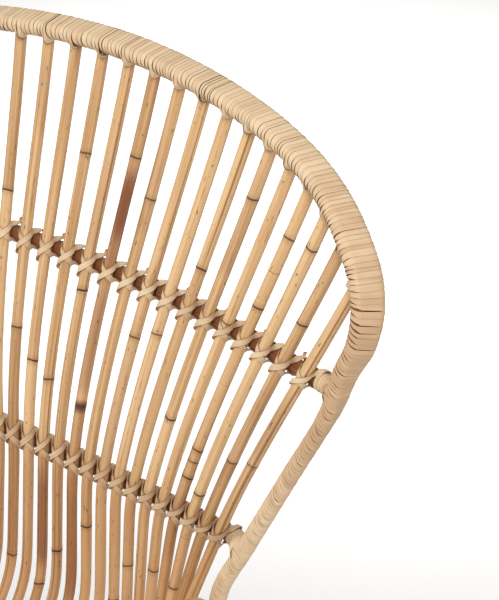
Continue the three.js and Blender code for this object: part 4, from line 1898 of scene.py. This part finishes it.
@dataclass(frozen=True)
class Underframe:
    """Arms with front legs, rear legs, seat frame, stretchers and their bindings.

    The points of arm and rear_top have rises over the fan's foot, and those of the legs have heights over
    the floor. Every y is as in the fan before it is centred.
    """

    fan: Fan
    canes: Canes
    leg_radius: float = 11.0
    seat_side_radius: float = 10.0
    seat_cross_radius: float = 9.0
    stretcher_radius: float = 8.0
    gap: float = GAP
    foot_z: float = 12.0
    arm: tuple[tuple[float, float, float], ...] = (
        (256.0, -46.5, -160.0),
        (256.0, -46.5, -134.0),
        (256.0, -46.5, -108.0),
        (265.0, -58.0, -64.0),
        (290.0, -128.0, -28.0),
        (315.0, -250.0, -9.0),
        (318.0, -375.0, -14.0),
        (309.0, -455.0, -40.0),
        (294.0, -500.0, -102.0),
    )
    rear_top: tuple[tuple[float, float, float], ...] = (
        (256.0, -5.5, -102.0),
        (256.0, -5.5, -130.0),
        (256.0, -5.5, -158.0),
    )
    front_leg: tuple[tuple[float, float, float], ...] = (
        (287.0, -513.0, 400.0),
        (284.0, -514.0, 240.0),
        (283.0, -514.0, 30.0),
    )
    rear_leg: tuple[tuple[float, float, float], ...] = (
        (260.0, 12.0, 350.0),
        (266.0, 50.0, 180.0),
        (273.0, 86.0, 30.0),
    )
    seat_side: tuple[tuple[float, float], tuple[float, float]] = ((274.5, 28.0), (284.0, -514.0))
    seat_rail_y: tuple[tuple[str, float], ...] = (("rear", -185.0), ("middle", -335.0), ("front", -480.0))
    side_stretcher_z: float = 160.0
    cross_stretcher_z: float = 125.0
    leg_step: float = 6.0
    leg_ease: float = 4.0
    leg_sides: int = 18
    pole_sides: int = 16
    arm_knot_gap: float = 260.0
    rear_leg_knot_gap: float = 230.0
    binding_foot: float = -156.0
    binding_loops: int = 9
    binding_lift: float = 1.5
    binding_peel: PeelTurns = PeelTurns(pitch=4.8, width=4.65, rounding=0.45, tone=0.5, swing=0.3, beat=7.0)
    wrap_start: float = 4.0
    wrap_loops: int = 4
    wrap_step: float = 2.0
    wrap_peel: PeelTurns = PeelTurns(
        pitch=4.2, width=4.05, rounding=0.4, tone=0.5, swing=0.3, beat=3.0, thickness=0.95
    )
    around: int = 24
    arm_seed: int = 61
    rear_leg_seed: int = 71
    seat_side_seed: int = 81
    side_stretcher_seed: int = 91
    seat_rail_seed: int = 101
    cross_stretcher_seed: int = 111

    def leg_path(
        self, upper: Sequence[Sequence[float]], lower: Sequence[Sequence[float]], side: Side
    ) -> np.ndarray:
        """A bent pole from the fan into a leg that stands square on the floor.

        Args:
            upper: Its upper points, with rises over the fan's foot.
            lower: Its lower points, with heights over the floor.
            side: The side of the chair.

        Returns:
            The pole's middle line.
        """
        raised = [[x, y, self.fan.foot_z + rise] for x, y, rise in upper]
        points = [[side.value * x, y - self.fan.middle_y, z] for x, y, z in [*raised, *lower]]
        bent = bent_through(points, self.leg_step)
        foot = bent[-1].copy()
        foot[2] = self.foot_z
        return eased(np.vstack([bent, foot]), self.leg_ease)

    def side_height(self, y: float) -> float:
        """Height of the seat sides' middle lines."""
        return self.canes.seat_height(self.fan, y) - self.canes.radius - self.seat_cross_radius - self.gap

    def seat_corner(self, side: Side, x: float, y: float) -> np.ndarray:
        """One end of a seat side's middle line."""
        return np.array([side.value * x, y - self.fan.middle_y, self.side_height(y)])

    def binding(self, side: Side) -> Skin:
        """Peel wound round the arm, the hoop and the rear leg where they stand side by side.

        Args:
            side: The side of the chair.

        Returns:
            The wound strip's skin.
        """
        arm_x, arm_y, _ = self.arm[0]
        leg_y = self.rear_top[0][1]
        count = self.binding_loops * self.around + 1
        turns = np.arange(count) / self.around
        angles = 2 * math.pi * turns
        normals = np.stack([side.value * np.cos(angles), np.sin(angles), np.zeros(count)], axis=-1)
        y = np.where(normals[:, 1] > 0, leg_y, arm_y) - self.fan.middle_y
        z = self.fan.foot_z + self.binding_foot + self.binding_peel.pitch * turns
        middle = np.stack([np.full(count, side.value * arm_x), y, z], axis=-1)
        places = middle + normals * (self.leg_radius + self.binding_lift)
        return self.binding_peel.skin(places, normals, turns)

    def joint_wrap(self, line: np.ndarray, radius: float, at_end: bool) -> Skin:
        """Turns of peel round one end of a stretcher or seat rail.

        Args:
            line: The pole's middle line.
            radius: Its radius.
            at_end: Whether the turns are at the line's end, and not at its start.

        Returns:
            The wound strip's skin.
        """
        path = evenly(line[::-1] if at_end else line, self.wrap_step)
        turns = np.arange(self.wrap_loops * self.around + 1) / self.around
        stations = self.wrap_start + self.wrap_peel.pitch * turns
        tangents = unit(carried(path, tangents_of(path), stations))
        up = square_to(np.broadcast_to(reference_for(tangents[0]), tangents.shape), tangents)
        normals = facing(np.cross(tangents, up), up, 2 * math.pi * turns)
        places = along_path(path, stations) + normals * (radius + self.wrap_peel.thickness)
        return self.wrap_peel.skin(places, normals, turns)

    def end_wraps(self, line: np.ndarray, radius: float) -> list[Skin]:
        """Turns of peel round both ends of a pole."""
        return [self.joint_wrap(line, radius, at_end) for at_end in (False, True)]

    def bent_pole(
        self, name: str, path: np.ndarray, seed: int, knot_gap: float, finishes: Finishes
    ) -> None:
        """One arm or leg that stands for the node of its name."""
        stick = Stick(path, self.leg_radius, ACROSS, seed=seed, sides=self.leg_sides, knot_gap=knot_gap)
        make_piece(f"{name}_round", stick.skin(), finishes.cane, Slot.POLE, [name])

    def pole(
        self,
        name: str,
        line: np.ndarray,
        radius: float,
        seed: int,
        finishes: Finishes,
        slot: Slot = Slot.POLE,
    ) -> None:
        """One straight pole that stands for the node of its name.

        Args:
            name: The node's name.
            line: The pole's middle line.
            radius: Its radius.
            seed: Number that its small differences come from.
            finishes: The chair's materials.
            slot: Its material slot.
        """
        reference = reference_for(unit(line[-1] - line[0]))
        stick = Stick(line, radius, reference, seed=seed, sides=self.pole_sides)
        material = finishes.dark if slot is Slot.DARK_RATTAN else finishes.cane
        make_piece(f"{name}_round", stick.skin(), material, slot, [name])

    def build(self, finishes: Finishes) -> None:
        """Makes every pole under and beside the seat.

        Args:
            finishes: The chair's materials.
        """
        legs: dict[tuple[str, Side], np.ndarray] = {}
        seat_ends: dict[Side, list[np.ndarray]] = {}
        wraps: list[Skin] = []
        for side in Side:
            name = side.name.lower()
            front = self.leg_path(self.arm, self.front_leg, side)
            rear = self.leg_path(self.rear_top, self.rear_leg, side)
            self.bent_pole(f"arm_{name}", front, self.arm_seed + side.value, self.arm_knot_gap, finishes)
            seed = self.rear_leg_seed + side.value
            self.bent_pole(f"rear_leg_{name}", rear, seed, self.rear_leg_knot_gap, finishes)
            node = f"hoop_binding_{name}"
            make_piece(f"{node}_wound", self.binding(side), finishes.peel, Slot.PEEL, [node])
            seat_ends[side] = [self.seat_corner(side, x, y) for x, y in self.seat_side]
            line = trimmed(*seat_ends[side], self.leg_radius)
            seed = self.seat_side_seed + side.value
            self.pole(f"seat_side_{name}", line, self.seat_side_radius, seed, finishes)
            ties = [at_height(leg, self.side_stretcher_z) for leg in (front, rear)]
            line = trimmed(*ties, self.leg_radius)
            seed = self.side_stretcher_seed + side.value
            self.pole(f"side_stretcher_{name}", line, self.stretcher_radius, seed, finishes)
            wraps.extend(self.end_wraps(line, self.stretcher_radius))
            legs["front", side] = front
            legs["rear", side] = rear
        for name, y in self.seat_rail_y:
            ends = []
            for back, ahead in seat_ends.values():
                share = (back[1] - (y - self.fan.middle_y)) / (back[1] - ahead[1])
                ends.append(back + (ahead - back) * share)
            line = trimmed(*ends, self.seat_side_radius)
            node = f"seat_rail_{name}"
            self.pole(node, line, self.seat_cross_radius, self.seat_rail_seed, finishes, Slot.DARK_RATTAN)
            wraps.extend(self.end_wraps(line, self.seat_cross_radius))
        for end in ("front", "rear"):
            ties = [at_height(legs[end, side], self.cross_stretcher_z) for side in Side]
            line = trimmed(*ties, self.leg_radius)
            self.pole(f"{end}_stretcher", line, self.stretcher_radius, self.cross_stretcher_seed, finishes)
            wraps.extend(self.end_wraps(line, self.stretcher_radius))
        make_piece("joint_wraps", joined(wraps), finishes.peel, Slot.PEEL)


@dataclass(frozen=True)
class Studio:
    """A pale floor, soft light and the camera at the photograph's angle, in metres and watts."""

    image_height: float = 600.0
    focal_pixels: float = 3034.8
    sensor: float = 36.0
    azimuth: float = 41.2122
    pitch: float = 26.8177
    camera_place: tuple[float, float, float] = (1.998, -1.76669, 2.217)
    sight: float = 100.0
    floor_half: float = 14.0
    floor_colour: Colour = (0.93, 0.925, 0.915, 1.0)
    floor_roughness: float = 0.9
    floor_sheen: float = 0.1
    sky: Colour = (1.0, 0.995, 0.985, 1.0)
    sky_strength: float = 0.62
    aim: tuple[float, float, float] = (0.0, 0.2, 0.75)
    lamp_size: float = 1.6
    key_place: tuple[float, float, float] = (1.5, -1.6, 3.3)
    key_power: float = 80.0
    left_place: tuple[float, float, float] = (-2.6, -1.6, 2.2)
    left_power: float = 20.0
    spot_place: tuple[float, float, float] = (-1.1, 1.8, 3.2)
    spot_angle: float = math.radians(52.0)
    spot_power: float = 300.0
    spot_size: float = 0.3

    def camera(self) -> None:
        """Sets the camera."""
        data = bpy.data.cameras.new("photo_camera")
        data.sensor_fit = "VERTICAL"
        data.sensor_height = self.sensor
        data.sensor_width = self.sensor
        data.lens = self.sensor * self.focal_pixels / self.image_height
        data.clip_end = self.sight
        camera = bpy.data.objects.new("photo_camera", data)
        camera.location = self.camera_place
        camera.rotation_euler = (math.radians(90.0 - self.pitch), 0.0, math.radians(self.azimuth))
        bpy.context.scene.collection.objects.link(camera)
        bpy.context.scene.camera = camera

    def floor(self) -> None:
        """Lays the floor."""
        mesh = bpy.data.meshes.new("floor")
        half = self.floor_half
        corners = [(-half, -half, 0), (half, -half, 0), (half, half, 0), (-half, half, 0)]
        mesh.from_pydata(corners, [], [(0, 1, 2, 3)])
        net = Net("pale_floor")
        net.set_shader(
            {
                "Base Color": self.floor_colour,
                "Roughness": self.floor_roughness,
                "Specular IOR Level": self.floor_sheen,
            }
        )
        mesh.materials.append(net.material)
        floor = bpy.data.objects.new("floor", mesh)
        bpy.context.scene.collection.objects.link(floor)

    def lamp(self, name: str, place: tuple[float, float, float], power: float) -> None:
        """Hangs a large soft lamp that looks at the chair.

        Args:
            name: The lamp's name.
            place: Where it hangs.
            power: Its power.
        """
        data = bpy.data.lights.new(name, "AREA")
        data.shape = "SQUARE"
        data.size = self.lamp_size
        data.energy = power
        lamp = bpy.data.objects.new(name, data)
        lamp.location = place
        look = Vector(self.aim) - Vector(place)
        lamp.rotation_euler = look.to_track_quat("-Z", "Y").to_euler()
        bpy.context.scene.collection.objects.link(lamp)

    def floor_light(self) -> None:
        """Lights the floor behind the chair from straight above, clear of the chair."""
        data = bpy.data.lights.new("floor_light", "SPOT")
        data.energy = self.spot_power
        data.spot_size = self.spot_angle
        data.spot_blend = 1.0
        data.shadow_soft_size = self.spot_size
        lamp = bpy.data.objects.new("floor_light", data)
        lamp.location = self.spot_place
        bpy.context.scene.collection.objects.link(lamp)

    def build(self) -> None:
        """Makes the studio."""
        scene = bpy.context.scene
        world = bpy.data.worlds.new("white_studio")
        world.use_nodes = True
        sky = world.node_tree.nodes["Background"]
        sky.inputs["Color"].default_value = self.sky
        sky.inputs["Strength"].default_value = self.sky_strength
        scene.world = world
        scene.view_settings.view_transform = "Standard"
        self.floor()
        self.lamp("key_lamp", self.key_place, self.key_power)
        self.lamp("left_lamp", self.left_place, self.left_power)
        self.floor_light()
        self.camera()


def main() -> None:
    """Builds the chair's pieces in order, then the studio."""
    logging.basicConfig(level=logging.INFO, format="%(name)s: %(message)s")
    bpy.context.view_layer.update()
    finishes = Finishes(
        cane=CaneFinish().material(),
        peel=PeelFinish().material(),
        dark=DarkRattanFinish().material(),
        glide=GlideFinish().material(),
    )
    fan = Fan()
    canes = Canes()
    rim = Rim(fan)
    canes.build(fan, finishes)
    rim.build(finishes)
    upper = BackRail(fan, rim, Level.UPPER, rising=(-2.7, 0.12), falling=(2.4, -0.085))
    upper.build(finishes)
    lower = BackRail(fan, rim, Level.LOWER, rising=(6.0, 0.126), falling=(7.0, -0.135), tone=0.65)
    lower.build(finishes)
    Underframe(fan, canes).build(finishes)
    for name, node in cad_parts.items():
        if name.startswith("foot_glide"):
            node.data.materials.clear()
            node.data.materials.append(finishes.glide)
    Studio().build()


if __name__ == "__main__":
    main()
